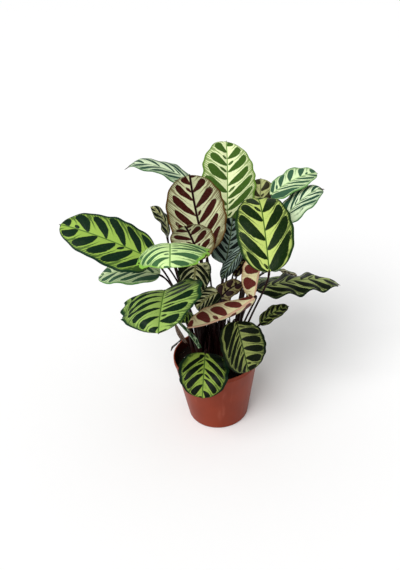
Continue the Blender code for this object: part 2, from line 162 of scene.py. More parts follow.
class Wire:
    """A value that runs through a node tree: sums on it add the nodes that work them out."""

    def __init__(self, tree, socket):
        self.tree, self.socket = tree, socket
        self.is_vector = socket.type in ("VECTOR", "RGBA", "ROTATION")

    def math(self, operation, *others):
        return add(self.tree, MATH, self, *others, operation=operation)

    def vector_math(self, operation, *others, out=0):
        return add(self.tree, VECTOR_MATH, self, *others, out=out, operation=operation)

    def combine(self, operation, other, flipped=False):
        """An operation with another wire or number, on vectors where either side is one."""
        first, second = (other, self) if flipped else (self, other)
        vectors = self.is_vector or getattr(other, "is_vector", isinstance(other, tuple))
        return add(self.tree, VECTOR_MATH if vectors else MATH, first, second, operation=operation)

    def __add__(self, other):
        return self.combine("ADD", other)

    def __radd__(self, other):
        return self.combine("ADD", other, flipped=True)

    def __sub__(self, other):
        return self.combine("SUBTRACT", other)

    def __rsub__(self, other):
        return self.combine("SUBTRACT", other, flipped=True)

    def __mul__(self, other):
        return self.combine("MULTIPLY", other)

    def __rmul__(self, other):
        return self.combine("MULTIPLY", other, flipped=True)

    def __truediv__(self, other):
        return self.combine("DIVIDE", other)

    def __rtruediv__(self, other):
        return self.combine("DIVIDE", other, flipped=True)

    def __neg__(self):
        return self * -1.0

    def __pow__(self, other):
        return self.math("POWER", other)

    def __abs__(self):
        return self.math("ABSOLUTE")

    def __gt__(self, other):
        return self.math("GREATER_THAN", other)

    def __lt__(self, other):
        return self.math("LESS_THAN", other)

    def at_least(self, other):
        return self.math("MAXIMUM", other)

    def at_most(self, other):
        return self.math("MINIMUM", other)

    def part(self, index):
        """The x, y or z of a vector, as index 0, 1 or 2."""
        return add(self.tree, "ShaderNodeSeparateXYZ", self, out=index)


def add(tree, kind, *values, out=0, **settings):
    """Adds a node, sets or links its inputs in order, and returns the wire of one of its outputs."""
    node = tree.nodes.new(kind)
    for name, value in settings.items():
        setattr(node, name, value)
    for socket, value in zip(node.inputs, values):
        plug(tree, socket, value)
    return Wire(tree, node.outputs[out])


def plug(tree, socket, value):
    """Links a wire into a socket, or sets the socket to a number, a vector or a material."""
    if isinstance(value, Wire):
        tree.links.new(value.socket, socket)
    elif value is not None:
        if isinstance(value, (int, float)) and socket.type in ("VECTOR", "ROTATION"):
            value = (value, value, value)
        socket.default_value = value


print("a sum on wires adds its node")

# %% [markdown]
# Short names for common nodes
#
# These functions give the usual nodes the names that they have in a formula, so that a shape's rule can
# be read in the script as it would be written on paper.

# %% Name the common nodes
def sin(wire):
    return wire.math("SINE")


def cos(wire):
    return wire.math("COSINE")


def sqrt(wire):
    return wire.math("SQRT")


def exp(wire):
    return wire.math("EXPONENT")


def unit(wire):
    return wire.vector_math("NORMALIZE")


def cross(a, b):
    return a.vector_math("CROSS_PRODUCT", b)


def dot(a, b):
    return a.vector_math("DOT_PRODUCT", b, out=1)


def vector(tree, x, y, z):
    return add(tree, "ShaderNodeCombineXYZ", x, y, z)


def choose(condition, when_true, when_false):
    """One of two values, by a wire that is 1 or 0."""
    return when_false + (when_true - when_false) * condition


def smooth(wire, start, end, low=0.0, high=1.0):
    """A soft step from low to high as the wire goes from start to end."""
    return add(wire.tree, "ShaderNodeMapRange", wire, start, end, low, high,
               interpolation_type="SMOOTHSTEP")


print("short names ready")

# %% [markdown]
# Growing a piece from a tree
#
# A Geometry Nodes tree works only as a modifier on an object. So a piece is grown in four steps: make an
# object, give it the modifier, set the tree's inputs, and keep the result as a plain mesh without the
# modifier. What the tree stores on the mesh under a name stays there for the finish. Each finished piece
# then hides the solid that it stands for.

# %% Define how a piece is grown
TREE_SOCKETS = {float: "NodeSocketFloat", int: "NodeSocketInt", tuple: "NodeSocketVector",
                str: "NodeSocketMaterial", list: "NodeSocketColor", type(None): "NodeSocketGeometry"}


def joined(tree, *parts):
    """One geometry made of several."""
    node = tree.nodes.new("GeometryNodeJoinGeometry")
    for part in parts:
        tree.links.new(part.socket, node.inputs[0])
    return Wire(tree, node.outputs[0])


def stored(tree, geometry, label, value, domain="POINT"):
    """The geometry with a value or a vector kept on it under a name."""
    data_type = "FLOAT_VECTOR" if getattr(value, "is_vector", False) else "FLOAT"
    return add(tree, "GeometryNodeStoreNamedAttribute", geometry, None, label, value,
               data_type=data_type, domain=domain)


def recalled(tree, label, data_type="FLOAT"):
    """A value or a vector that was kept under this name."""
    return add(tree, "GeometryNodeInputNamedAttribute", label, data_type=data_type)


def new_tree(name, kind, inputs, outputs):
    """A node group with named inputs. Returns the tree, a wire for each input, and the output node."""
    tree = bpy.data.node_groups.new(name, kind)
    for label, socket in outputs:
        tree.interface.new_socket(label, in_out="OUTPUT", socket_type=socket)
    for label, example in inputs:
        made = tree.interface.new_socket(label, in_out="INPUT", socket_type=TREE_SOCKETS[type(example)])
        if not isinstance(example, (str, type(None))):
            made.default_value = example
    entry = tree.nodes.new("NodeGroupInput")
    wires = {label: Wire(tree, entry.outputs[label]) for label, _ in inputs}
    return tree, wires, tree.nodes.new("NodeGroupOutput")


def grown(name, tree, values, start=None):
    """A plain mesh object, made by running a Geometry Nodes tree with these values on a start mesh."""
    made = bpy.data.objects.new(name, start or bpy.data.meshes.new(name))
    bpy.context.scene.collection.objects.link(made)
    modifier = made.modifiers.new("Grow", "NODES")
    modifier.node_group = tree
    sockets = {item.name: item.identifier for item in tree.interface.items_tree if item.in_out == "INPUT"}
    for label, value in values.items():
        modifier[sockets[label]] = value
    bpy.context.view_layer.update()
    graph = bpy.context.evaluated_depsgraph_get()
    mesh = bpy.data.meshes.new_from_object(made.evaluated_get(graph))
    made.modifiers.clear()
    made.data = mesh
    mesh.name = name
    return made


def dress(piece, slot, *nodes):
    """Hides the solids that the piece stands for, and lets it move with the plant."""
    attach(piece, BODY)
    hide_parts(*nodes)


print(f"pieces ride on the body {BODY}")

# %% [markdown]
# The leaves, one by one
#
# Each blade is described by what one would measure on it: where its midrib starts and ends, how wide it
# is, which way its patterned side looks, and how its halves slope and wave. All of it is in millimetres
# and degrees from the middle of the pot's foot. The same numbers made the plain solids, so each fine
# blade lies where its solid lies. The last words are for looks alone: the finishes of the upper and the
# lower side, how many pairs of dark ovals the blade carries, how far its side veins lean towards the tip
# on each half, and how the tip ends.

# %% List the leaves
SHOOTS = {
    "left": (-30, 4),
    "front_left": (-20, -24),
    "front_right": (14, -28),
    "right": (34, -9),
    "far_right": (30, 18),
    "back": (7, 31),
    "back_left": (-19, 27),
    "middle": (2, 0),
}
LEAVES = []


def leaf(name, shoot, base, tip, width, face, arch=8, left=(14, -16), right=(14, -16),
         wave=(2.0, 2.5, 0.0), belly=0.45, curl=0.04, sway=0, twist=0, reach=26, swing=(0, 0, 0),
         upper="green", under="maroon", pairs=5.5, lean=(0.75, 0.75), hook=0, tip_end=0.985,
         uneven=1.0):
    """Notes one leaf down, with the usual values for what isn't given."""
    LEAVES.append(dict(
        name=name, shoot=shoot, base=base, tip=tip, width=width, face=face, arch=arch, left=left,
        right=right, wave=wave, belly=belly, curl=curl, sway=sway, twist=twist, reach=reach, swing=swing,
        upper=upper, under=under, pairs=pairs, lean=lean, hook=hook, tip_end=tip_end, uneven=uneven,
    ))


leaf("far_left", "left", (-84, -10, 308), (-214, 5, 370), 78, (0.0, -0.6, 0.8), belly=0.4, twist=8,
     upper="lime", lean=(0.9, 0.8))
leaf("low_left", "left", (-79, 25, 262), (-181, 45, 257), 64, (0.0, -0.15, 1.0), upper="mint", pairs=4.6,
     lean=(1.2, 1.2))
leaf("arched_left", "front_left", (-57, -30, 337), (-52, -135, 370), 106, (0.12, 0.1, 1.0), arch=12,
     left=(8, -30), right=(5, -70), wave=(4.0, 3.0, 0.3), curl=0.1, upper="pale", pairs=9.5,
     lean=(0.0, 0.25), uneven=2.2)
leaf("front_left", "front_left", (-67, -70, 291), (-74, -160, 287), 122, (0.05, -0.1, 1.0), arch=6,
     left=(30, 32), right=(22, -54), wave=(5.0, 2.0, 0.55), belly=0.45, curl=0.08, upper="green",
     pairs=6.5, lean=(0.1, 0.65), uneven=2.4)
leaf("top_left", "back_left", (-4, 63, 382), (-112, 80, 432), 72, (0.4, 0.0, 0.9), curl=0.08,
     upper="silver", lean=(1.3, 1.3), hook=9, tip_end=1.0)
leaf("top", "back", (32, 85, 317), (40, 147, 432), 93, (0.1, -0.8, 0.5), left=(35, 0), right=(5, -15),
     upper="sunlit", under="rose", pairs=6.6, lean=(0.45, 0.8), uneven=1.7)
leaf("tall_reverse", "middle", (-5, 22, 296), (-22, 26, 424), 88, (0.0, 1.0, 0.1), belly=0.49, sway=3,
     pairs=5.5, lean=(0.9, 1.05))
leaf("small_reverse", "middle", (-15, 5, 293), (-34, -15, 363), 64, (0.0, 1.0, 0.1), pairs=4.4,
     lean=(0.6, 0.6))
leaf("upper_right", "far_right", (99, 70, 362), (170, 70, 396), 48, (-0.3, -0.4, 0.88), upper="mint",
     pairs=5, lean=(0.4, 1.9), hook=2)
leaf("outer_right", "far_right", (114, 40, 332), (173, 50, 380), 50, (-0.55, -0.4, 0.75), upper="silver",
     pairs=4, lean=(1.8, 2.2), hook=6, tip_end=1.0)
leaf("front_right", "right", (79, -60, 303), (77, 42, 391), 82, (0.0, -0.7, 0.7), curl=0.3,
     upper="bright", pairs=4.7, lean=(0.95, 1.15))
leaf("long_right", "right", (66, -15, 247), (198, 0, 246), 70, (0.0, 0.12, 1.0), left=(5, -25),
     right=(0, -25), wave=(4.5, 3.5, 0.0), upper="deep", pairs=6, lean=(1.0, 1.0), hook=5, tip_end=1.0,
     uneven=1.8)
leaf("back_right_low", "far_right", (84, 50, 238), (143, 60, 220), 44, (0.2, 0.5, 0.8), upper="silver",
     lean=(1.0, 1.0))
leaf("small_right", "right", (72, -10, 180), (119, 0, 205), 24, (-0.3, -0.5, 0.8), upper="olive",
     lean=(1.0, 1.0), hook=2, tip_end=1.0)
leaf("rim_right", "front_right", (32, -56, 220), (44, -102, 160), 70, (0.0, -0.85, 0.5), left=(5, -20),
     right=(35, 15), upper="olive", pairs=5.8, lean=(0.2, 1.3))
leaf("rim_left", "front_left", (-17, -68, 175), (-26, -125, 137), 74, (0.0, -0.6, 0.8), left=(20, -10),
     right=(10, 0), upper="lake", pairs=4.6, lean=(0.85, 0.85))
leaf("hanging_reverse", "far_right", (74, -30, 313), (60, -38, 245), 56, (0.15, 1.0, 0.0), left=(15, 45),
     right=(95, 130), belly=0.5, swing=(0, 90, 0), under="rose", pairs=3.6, lean=(0.15, 0.15))
leaf("rolled_reverse", "front_right", (59, -60, 263), (-42, -91, 237), 54, (0.15, 0.34, -0.94), arch=0,
     left=(15, 40), right=(75, 125), sway=9, twist=-60, reach=24, under="rose", pairs=4.4,
     lean=(0.5, 0.5))
leaf("inner_reverse", "middle", (2, -26, 227), (47, -5, 257), 52, (-0.4, 0.85, 0.3), reach=20,
     under="dusk", pairs=3.4, lean=(0.3, 0.3))
leaf("centre_upper", "front_left", (-22, -12, 297), (-28, -57, 270), 52, (0.0, -0.6, 0.8), left=(38, 10),
     right=(38, 10), upper="striped", pairs=5, lean=(1.1, 1.1))
leaf("centre_lower", "front_right", (8, -32, 258), (-26, -48, 241), 34, (0.0, -0.5, 0.85), left=(30, 0),
     right=(24, 0), reach=14, upper="striped", pairs=5, lean=(1.2, 1.2))
leaf("centre_small", "front_left", (-31, -50, 233), (-50, -75, 238), 24, (0.0, -0.4, 0.9), upper="lime",
     lean=(0.8, 0.8))
leaf("young_back_left", "left", (-63, 60, 309), (-84, 60, 363), 34, (0.9, -0.3, 0.3), upper="striped",
     pairs=4, lean=(1.5, 1.5))
leaf("behind_right", "back", (86, 114, 312), (91, 118, 374), 56, (0.0, -0.9, 0.4), upper="sepia",
     pairs=3.4, lean=(0.8, 0.8))
leaf("middle_upright", "middle", (25, 45, 262), (40, 62, 335), 60, (0.0, -0.9, 0.3), upper="blue",
     lean=(0.9, 0.9))
leaf("brown_reverse", "far_right", (61, 13, 289), (36, 13, 256), 22, (0.2, 1.0, 0.0), left=(10, 30),
     right=(10, 30), under="dusk", pairs=4)
leaf("middle_droop", "far_right", (52, 24, 300), (14, 5, 258), 21, (0.3, -0.5, 0.8), upper="blue",
     lean=(2.0, 2.0), pairs=7)
leaf("young_front", "front_left", (-26, -42, 166), (-56, -45, 221), 14, (0.5, -0.8, 0.3), left=(60, 80),
     right=(60, 80), upper="silver", under="silver", pairs=4, lean=(1.5, 1.5))
leaf("back_high_right", "back", (45, 105, 290), (72, 185, 325), 70, (0.0, 0.3, 0.95))
leaf("back_high_left", "back_left", (-12, 105, 285), (-38, 175, 318), 64, (0.0, 0.3, 0.95))
leaf("low_back_left", "back_left", (-30, 92, 88), (-80, 60, 85), 20, (-0.3, 0.6, 0.75), swing=(0, 0, 90),
     upper="withered", under="withered")
leaf("dry_sheath", "left", (-46, 12, 134), (-63, 12, 176), 10, (-0.5, -0.8, 0.3), arch=3,
     wave=(0.5, 1.0, 0.0), reach=12, upper="dry", under="dry")
leaf("back_left", "back_left", (-72, 85, 246), (-160, 145, 258), 66, (0.0, 0.45, 0.9))
leaf("back_right", "far_right", (78, 70, 205), (132, 142, 165), 62, (0.0, 0.5, 0.87))
leaf("back_low", "back", (-14, 75, 185), (-26, 150, 140), 60, (0.0, 0.5, 0.87))
leaf("back_middle", "back", (48, 100, 248), (62, 174, 256), 58, (0.0, 0.3, 0.95))
leaf("back_small", "back_left", (-58, 76, 180), (-112, 100, 168), 44, (0.0, 0.45, 0.9))
print(f"{len(LEAVES)} leaves on {len(SHOOTS)} shoots")

# %% [markdown]
# How a blade is shaped
#
# A calathea blade is a thin sheet that follows a rule: an arched midrib, an oval outline with a short
# drip tip, halves that slope away from the midrib, and a margin that waves. A sculpted mesh would need
# that work 37 times over. One Geometry Nodes tree does it once: a flat grid carries two numbers for each
# point, its share of the way along the midrib and its share of the way out to the margin, and the tree
# bends the grid by them. Rows crowd near both ends of the blade, and lanes crowd near its midrib, because
# that is where it bends most.

# %% Place the grid on the leaf
ROWS, LANES = 73, 49
ROWS_CROWD_ENDS = 0.12
LANES_CROWD_MIDRIB = 1.35


def grid_places(tree, given):
    """For each point: its row t from 0 to 1, its share s along the midrib, and its lane from -1 to 1."""
    place = add(tree, "GeometryNodeInputPosition")
    t = place.part(0) + 0.5
    s = (t - ROWS_CROWD_ENDS * sin(t * (2 * math.pi)) * (1.0 - t * 0.25)) * given["Tip End"]
    return t, s, -place.part(1)


print(f"{ROWS * LANES} points on each side of a blade")

# %% [markdown]
# The midrib
#
# The midrib starts as a straight chord from the stalk to the tip. It is arched up, swayed sideways and
# curled back towards its end, and some tips hook down. The blade may also twist round it. A curve object
# could do this, but its twist is hard to control, so each point works out the directions across and up
# from the slope of the midrib there.

# %% Bend the midrib
HOOK_START = 0.86


def midrib(given, s):
    """The midrib's place at s, the chord's length, and the directions across the blade and up from it."""
    chord = given["Tip"] - given["Base"]
    length = chord.vector_math("LENGTH", out=1)
    along = unit(chord)
    up = unit(given["Face"] - along * dot(given["Face"], along))
    right = cross(along, up)
    bow = s * (1.0 - s) * 4.0
    steep = (1.0 - s * 2.0) * 4.0
    bend = given["Curl"] * length
    hook = given["Hook"] * ((s - HOOK_START) / (1.0 - HOOK_START)).at_least(0.0) ** 2.0
    spine = given["Base"] + chord * s + up * (given["Arch"] * bow - bend * s**6 - hook)
    spine = spine + right * given["Sway"] * bow
    heading = unit(chord + up * (given["Arch"] * steep - bend * s**5 * 6.0) + right * given["Sway"] * steep)
    sideways = unit(cross(heading, up))
    over = cross(sideways, heading)
    turn = given["Twist"] * s
    lift = over * cos(turn) + sideways * sin(turn)
    across = sideways * cos(turn) - over * sin(turn)
    return spine, length, across, lift


print(f"tips hook down from {HOOK_START:.0%} of the midrib on")

# %% [markdown]
# The outline
#
# The outline is an oval whose widest place, the belly, can lie nearer the stalk or nearer the tip. It
# ends in a narrow stem and a short drip tip. No grown leaf is perfectly even, so a noise nibbles at the
# margin and soft lobes follow the side veins.

# %% Draw the outline
STEM_HALF_WIDTH, TIP_HALF_WIDTH = 1.3 * MM, 1.1 * MM
TIP_SHARE = 0.97
FULLNESS = 2.3
NIBBLE_SHARE, LOBE_SHARE, LOBES_A_PAIR = 0.15, 0.014, 1.1
NIBBLES_ALONG, NIBBLES_SIDE_STEP = 4.5, 5.0
LOBES_SIDE_SHIFT, LOBES_LEAF_SHIFT = 1.9, 2.3


def outline(tree, given, s, side):
    """Half the blade's width at s on one side, and the wave of the lobes on its margin."""
    skew = add(tree, MATH, 0.5, given["Belly"] / TIP_SHARE, operation="LOGARITHM")
    ends = (s / TIP_SHARE).at_most(1.0) ** skew * 2.0 - 1.0
    oval = sqrt((1.0 - abs(ends) ** FULLNESS).at_least(0.0))
    tapered = s * (TIP_HALF_WIDTH - STEM_HALF_WIDTH) + STEM_HALF_WIDTH
    narrowest = tapered - s**12 * (0.5 * TIP_HALF_WIDTH)
    spot = vector(tree, s * NIBBLES_ALONG, side * NIBBLES_SIDE_STEP, given["Seed"])
    nibble = add(tree, "ShaderNodeTexNoise", spot, None, 1.0, 1.0)
    turns = s * given["Oval Pairs"] * (2 * math.pi * LOBES_A_PAIR)
    lobes = sin(turns + side * LOBES_SIDE_SHIFT + given["Seed"] * LOBES_LEAF_SHIFT)
    uneven = ((nibble - 0.5) * NIBBLE_SHARE + lobes * LOBE_SHARE) * given["Uneven"] + 1.0
    return (given["Width"] * 0.5 * oval * uneven).at_least(narrowest), lobes


print(f"the oval ends at {TIP_SHARE:.0%} of the midrib, and the drip tip follows")

# %% [markdown]
# The two halves
#
# From the midrib each half slopes up or down, and its slope turns evenly on the way to the margin, so the
# section of a half is an arc of a circle. Each half also waves and ripples, more and more towards its
# margin.

# %% Slope and wave the halves
WAVE_SIDE_SHIFT = 1.1
RIPPLE_SHARE, RIPPLE_GAIN, LOBE_GAIN = 0.05, 2.4, 0.2
RIPPLES_ALONG, RIPPLES_SIDE_STEP, RIPPLES_START = 6.0, 3.0, 40.0


def swept(first, last, x):
    """Sideways and upward travel, per half width, where the slope turns evenly from midrib to margin."""
    turn = last - first
    slope = first + turn * x
    return (sin(slope) - sin(first)) / turn, (cos(first) - cos(slope)) / turn


def halves(tree, given, s, x, side, is_right, half, lobes):
    """How far a point lies out from the midrib and how far it rises, and how full the blade is there."""
    left_over, left_rise = swept(given["Left In"], given["Left Out"], x)
    right_over, right_rise = swept(given["Right In"], given["Right Out"], x)
    out = choose(is_right, right_over, left_over) * half
    rise = choose(is_right, right_rise, left_rise) * half
    fullness = half / (given["Width"] * 0.5)
    swell = sin((given["Wave Count"] * s + given["Wave Phase"]) * (2 * math.pi) + side * WAVE_SIDE_SHIFT)
    rise = rise + given["Wave Height"] * x * x * fullness * swell
    spot = vector(tree, s * RIPPLES_ALONG, side * RIPPLES_SIDE_STEP + RIPPLES_START, given["Seed"])
    ripple = add(tree, "ShaderNodeTexNoise", spot, None, 1.0, 1.0)
    ripples = (ripple - 0.5) * RIPPLE_GAIN * x**2.5 + lobes * LOBE_GAIN * x**4
    rise = rise + ripples * RIPPLE_SHARE * half
    return out, rise, fullness


print(f"ripples up to {RIPPLE_SHARE:.0%} of a half's width")

# %% [markdown]
# The side veins
#
# Side veins leave the midrib and lean towards the tip. A point's vein is known by where on the midrib it
# starts, and that number is kept on the mesh, because the pattern of the leaf follows the same veins. The
# surface is lightly quilted between the veins, and the midrib lies in a groove.

# %% Raise the side veins
VEIN_LEAN_START, LEAN_AT_RIB, LEAN_GAIN = 0.12, 0.85, 0.3
VEIN_CROWD_BASE = 0.87
QUILT_HEIGHT, QUILTS_A_PAIR = 0.22 * MM, 2
GROOVE_DEPTH, GROOVE_WIDTH = 0.45 * MM, 1.1 * MM


def side_veins(given, s, x, is_right, half, length, fullness):
    """A point's vein number, its distance from the midrib, and the relief of quilt and groove there."""
    reach = x * half
    side_lean = choose(is_right, given["Lean Right"], given["Lean Left"])
    splay = (s / VEIN_LEAN_START).at_most(1.0) * (x * LEAN_GAIN + LEAN_AT_RIB) * side_lean
    start = (s - reach / length * splay).at_least(0.0)
    vein = start**VEIN_CROWD_BASE * given["Oval Pairs"]
    quilt = cos(vein * (2 * math.pi * QUILTS_A_PAIR)) * sin(x * math.pi) * QUILT_HEIGHT * fullness
    groove = exp(-((reach / GROOVE_WIDTH) ** 2)) * GROOVE_DEPTH * fullness
    return vein, reach, quilt - groove


print(f"{QUILTS_A_PAIR} quilts for each pair of ovals")

# %% [markdown]
# Two sides from one sheet
#
# A leaf seen from below needs a real lower side with its own finish. The lower side is the same sheet
# turned over and pushed down, most of all under the midrib, which stands out as a round rib. Along the
# margin it isn't pushed at all, so the two sides meet there and the blade is closed.

# %% Close the blade
BLADE_THICKNESS = 0.5 * MM
RIB_DEPTH, RIB_WIDTH, RIB_FADE = 1.2 * MM, 1.3 * MM, 0.6
SHARP_FOLD = 75
SAME_POINT = 1e-6


def with_under_side(tree, upper):
    """The bent sheet and its lower side, joined along the margin."""
    own_rib = recalled(tree, "rib", "FLOAT_VECTOR")
    along_s = recalled(tree, "blade", "FLOAT_VECTOR").part(2)
    ridge = exp(-((own_rib.part(0) / RIB_WIDTH) ** 2)) * (1.0 - along_s * RIB_FADE) * RIB_DEPTH
    normal = add(tree, "GeometryNodeInputNormal")
    under = add(tree, "GeometryNodeFlipFaces", upper)
    under = add(tree, "GeometryNodeSetPosition", under, None, None,
                normal * ((ridge + BLADE_THICKNESS) * own_rib.part(2)))
    upper = stored(tree, upper, "upper", 1.0, domain="FACE")
    closed = add(tree, "GeometryNodeMergeByDistance", joined(tree, under, upper), None, SAME_POINT)
    closed = add(tree, "GeometryNodeSetShadeSmooth", closed, None, True)
    sharp = add(tree, "GeometryNodeInputMeshEdgeAngle") > math.radians(SHARP_FOLD)
    return add(tree, "GeometryNodeSetShadeSmooth", closed, sharp, False, domain="EDGE")


print(f"blades {BLADE_THICKNESS / MM:.1f} mm thick, {(BLADE_THICKNESS + RIB_DEPTH) / MM:.1f} mm at the rib")

# %% [markdown]
# The blade tree
#
# Now the steps are put together into one tree with a named input for each measure of a leaf. Two vectors
# stay on the mesh for the finish: "blade" holds the vein number, the lane and the share along the midrib,
# and "rib" holds the distance from the midrib, the leaf's own seed and how near the edge is.

# %% Build the blade tree
MARGIN_STEEPNESS, END_STEEPNESS = 14.0, 40.0


def blade_tree():
    """The Geometry Nodes tree that bends a grid into a closed, waved and veined leaf blade."""
    tree, given, result = new_tree("Leaf blade", "GeometryNodeTree", [
        ("Base", (0.0, 0.0, 0.0)), ("Tip", (0.0, 0.1, 0.0)), ("Face", (0.0, 0.0, 1.0)),
        ("Width", 0.07), ("Arch", 0.008), ("Sway", 0.0), ("Curl", 0.04), ("Twist", 0.0),
        ("Belly", 0.45), ("Left In", 0.2), ("Left Out", -0.3), ("Right In", 0.2), ("Right Out", -0.3),
        ("Wave Height", 0.002), ("Wave Count", 2.5), ("Wave Phase", 0.0), ("Oval Pairs", 5.5),
        ("Lean Left", 0.75), ("Lean Right", 0.75), ("Tip End", 0.985), ("Hook", 0.0), ("Uneven", 1.0),
        ("Seed", 0.0), ("Rows", ROWS), ("Lanes", LANES), ("Upper", ""), ("Under", ""),
    ], [("Geometry", "NodeSocketGeometry")])
    t, s, lane = grid_places(tree, given)
    side = lane.math("SIGN")
    x = abs(lane) ** LANES_CROWD_MIDRIB
    is_right = lane > 0.0
    spine, length, across, lift = midrib(given, s)
    half, lobes = outline(tree, given, s, side)
    out, rise, fullness = halves(tree, given, s, x, side, is_right, half, lobes)
    vein, reach, relief = side_veins(given, s, x, is_right, half, length, fullness)

    # What the finish needs to know stays on the grid, and then the grid is bent
    edge = ((1.0 - abs(lane)) * MARGIN_STEEPNESS).at_most(1.0)
    edge = edge * (t * END_STEEPNESS).at_most(1.0) * ((1.0 - t) * END_STEEPNESS).at_most(1.0)
    sheet = add(tree, "GeometryNodeMeshGrid", 1.0, 2.0, given["Rows"], given["Lanes"])
    sheet = stored(tree, sheet, "blade", vector(tree, vein, x * side, s))
    sheet = stored(tree, sheet, "rib", vector(tree, reach, given["Seed"], edge))
    bent = spine + across * (side * out) + lift * (rise + relief)
    closed = with_under_side(tree, add(tree, "GeometryNodeSetPosition", sheet, None, bent))
    closed = add(tree, "GeometryNodeRealizeInstances", closed)
    is_upper = recalled(tree, "upper") > 0.5
    closed = add(tree, "GeometryNodeSetMaterial", closed, None, given["Under"])
    plug(tree, result.inputs[0], add(tree, "GeometryNodeSetMaterial", closed, is_upper, given["Upper"]))
    return tree


BLADE_TREE = blade_tree()
print(f"the blade tree has {len(BLADE_TREE.nodes)} nodes")

# %% [markdown]
# The peacock pattern
#
# The upper side is light green with a row of large dark ovals on each half, small dark ovals between
# them near the midrib, hair-fine dark lines along the veins and a dark margin. An image could hold this,
# but it would repeat on every leaf. A shader group that reads the numbers stored by the blade tree draws
# it afresh on each one. The colours and the main sizes are the group's inputs, so that every finish can
# use the same group.

# %% List what the pattern needs
MARK_INPUTS = [
    ("Ground", [0.3, 0.5, 0.05, 1.0]), ("Oval", [0.01, 0.03, 0.03, 1.0]), ("Line", [0.05, 0.12, 0.03, 1.0]),
    ("Margin", [0.03, 0.09, 0.04, 1.0]), ("Rib", [0.2, 0.4, 0.08, 1.0]), ("Tip", [0.02, 0.012, 0.008, 1.0]),
    ("Oval Width", 0.27), ("Oval Reach", 0.8), ("Lines", 0.9), ("Margin Width", 0.07), ("Rib Width", 0.9),
    ("Tip Start", 0.965),
]


def blend(first, second, factor):
    """A colour between two others, by a wire from 0 to 1."""
    node = first.tree.nodes.new("ShaderNodeMix")
    node.data_type = "RGBA"
    plug(first.tree, node.inputs[0], factor)
    plug(first.tree, node.inputs[6], first)
    plug(first.tree, node.inputs[7], second)
    return Wire(first.tree, node.outputs[2])


def cell_chance(tree, cell, is_right, seed, out=1):
    """Random numbers from 0 to 1 that belong to one cell of one half of one leaf."""
    return add(tree, "ShaderNodeTexWhiteNoise", vector(tree, cell, is_right, seed), out=out)


print(f"the pattern has {len(MARK_INPUTS)} inputs")

# %% [markdown]
# The ovals
#
# The vein number, cut into whole steps, says which oval a point is near, and the distance from the
# middle of the step says whether it is inside. A hash of the step makes each oval a little different in
# length and width. A large oval is pointed at the midrib and round towards the margin, so its width is a
# root near one end and falls off steeply at the other. Small ovals sit half a step further on, and some
# of them are missing.

# %% Draw the ovals
OVAL_START, OVAL_POINT, OVAL_ROUND, OVAL_FILL = 0.01, 0.55, 4.0, 1.36
OVAL_REACH_SCATTER, OVAL_WIDTH_LEAST, OVAL_WIDTH_SCATTER = 0.10, 0.9, 0.2
OVAL_EDGE = 0.03
SMALL_OVAL_START, SMALL_OVAL_WIDTH, SMALL_OVALS_MISSING = 0.03, 0.13, 0.4
SMALL_OVAL_LEAST, SMALL_OVAL_SCATTER = 0.14, 0.22


def large_ovals(tree, given, shifted, x, is_right, seed):
    """1 inside the large ovals, which end before the margin, and 0 outside."""
    cell = shifted.math("FLOOR")
    chance = cell_chance(tree, cell, is_right * 3.0, seed * 11.0)
    far = given["Oval Reach"] + (chance.part(0) - 0.5) * OVAL_REACH_SCATTER
    w = ((x - OVAL_START) / (far - OVAL_START)).at_least(0.0)
    end = sqrt((1.0 - w.at_most(1.0) ** OVAL_ROUND).at_least(0.0))
    body = w.at_most(1.0) ** OVAL_POINT * end * OVAL_FILL
    wide = given["Oval Width"] * (OVAL_WIDTH_LEAST + chance.part(1) * OVAL_WIDTH_SCATTER)
    return smooth(body * wide - abs(shifted - cell - 0.5), -0.5 * OVAL_EDGE, OVAL_EDGE) * (w < 1.0)


def small_ovals(tree, between, x, is_right, seed):
    """1 inside the small ovals between the large ones, and 0 outside."""
    cell = between.math("FLOOR")
    chance = cell_chance(tree, cell, is_right * 5.0 + 20.0, seed * 13.0)
    far = SMALL_OVAL_LEAST + chance.part(0) * SMALL_OVAL_SCATTER
    v = ((x - SMALL_OVAL_START) / far).at_least(0.0).at_most(1.0)
    is_there = chance.part(1) > SMALL_OVALS_MISSING
    body = sqrt((v * (1.0 - v) * 4.0).at_least(0.0)) * SMALL_OVAL_WIDTH * is_there
    return smooth(body - abs(between - cell - 0.5), 0.0, OVAL_EDGE)


print(f"{SMALL_OVALS_MISSING:.0%} of the small ovals are missing")

# %% [markdown]
# The hair lines
#
# One fine line runs down the middle of each light band. Towards the margin more lines begin, each at a
# place of its own, like the teeth of a worn comb.

# %% Draw the hair lines
LINE_OUTSIDE, LINE_INSIDE = 0.05, 0.02
LINE_STARTS, LINE_FULL = 0.12, 0.5
COMB_TEETH = 6.0
COMB_FIRST, COMB_SCATTER = 0.78, 0.36
TOOTH_OUTSIDE, TOOTH_INSIDE = 0.34, 0.12
TOOTH_FADE, TOOTH_STRENGTH = 0.16, 0.9


def hair_lines(tree, between, x, is_right, seed):
    """1 on the fine dark lines, and 0 beside them."""
    from_between = abs(between - between.math("FLOOR") - 0.5)
    middle_line = smooth(from_between, LINE_OUTSIDE, LINE_INSIDE) * smooth(x, LINE_STARTS, LINE_FULL)
    teeth = between * COMB_TEETH
    chance = cell_chance(tree, teeth.math("FLOOR"), is_right * 7.0, seed * 5.0, out=0)
    start = COMB_FIRST - chance * COMB_SCATTER
    tooth = smooth(abs(teeth.math("FRACT") - 0.5), TOOTH_OUTSIDE, TOOTH_INSIDE)
    comb = tooth * smooth(x - start, 0.0, TOOTH_FADE) * TOOTH_STRENGTH
    return middle_line.at_least(comb)


print(f"{COMB_TEETH:.0f} lines to a step of the vein number")

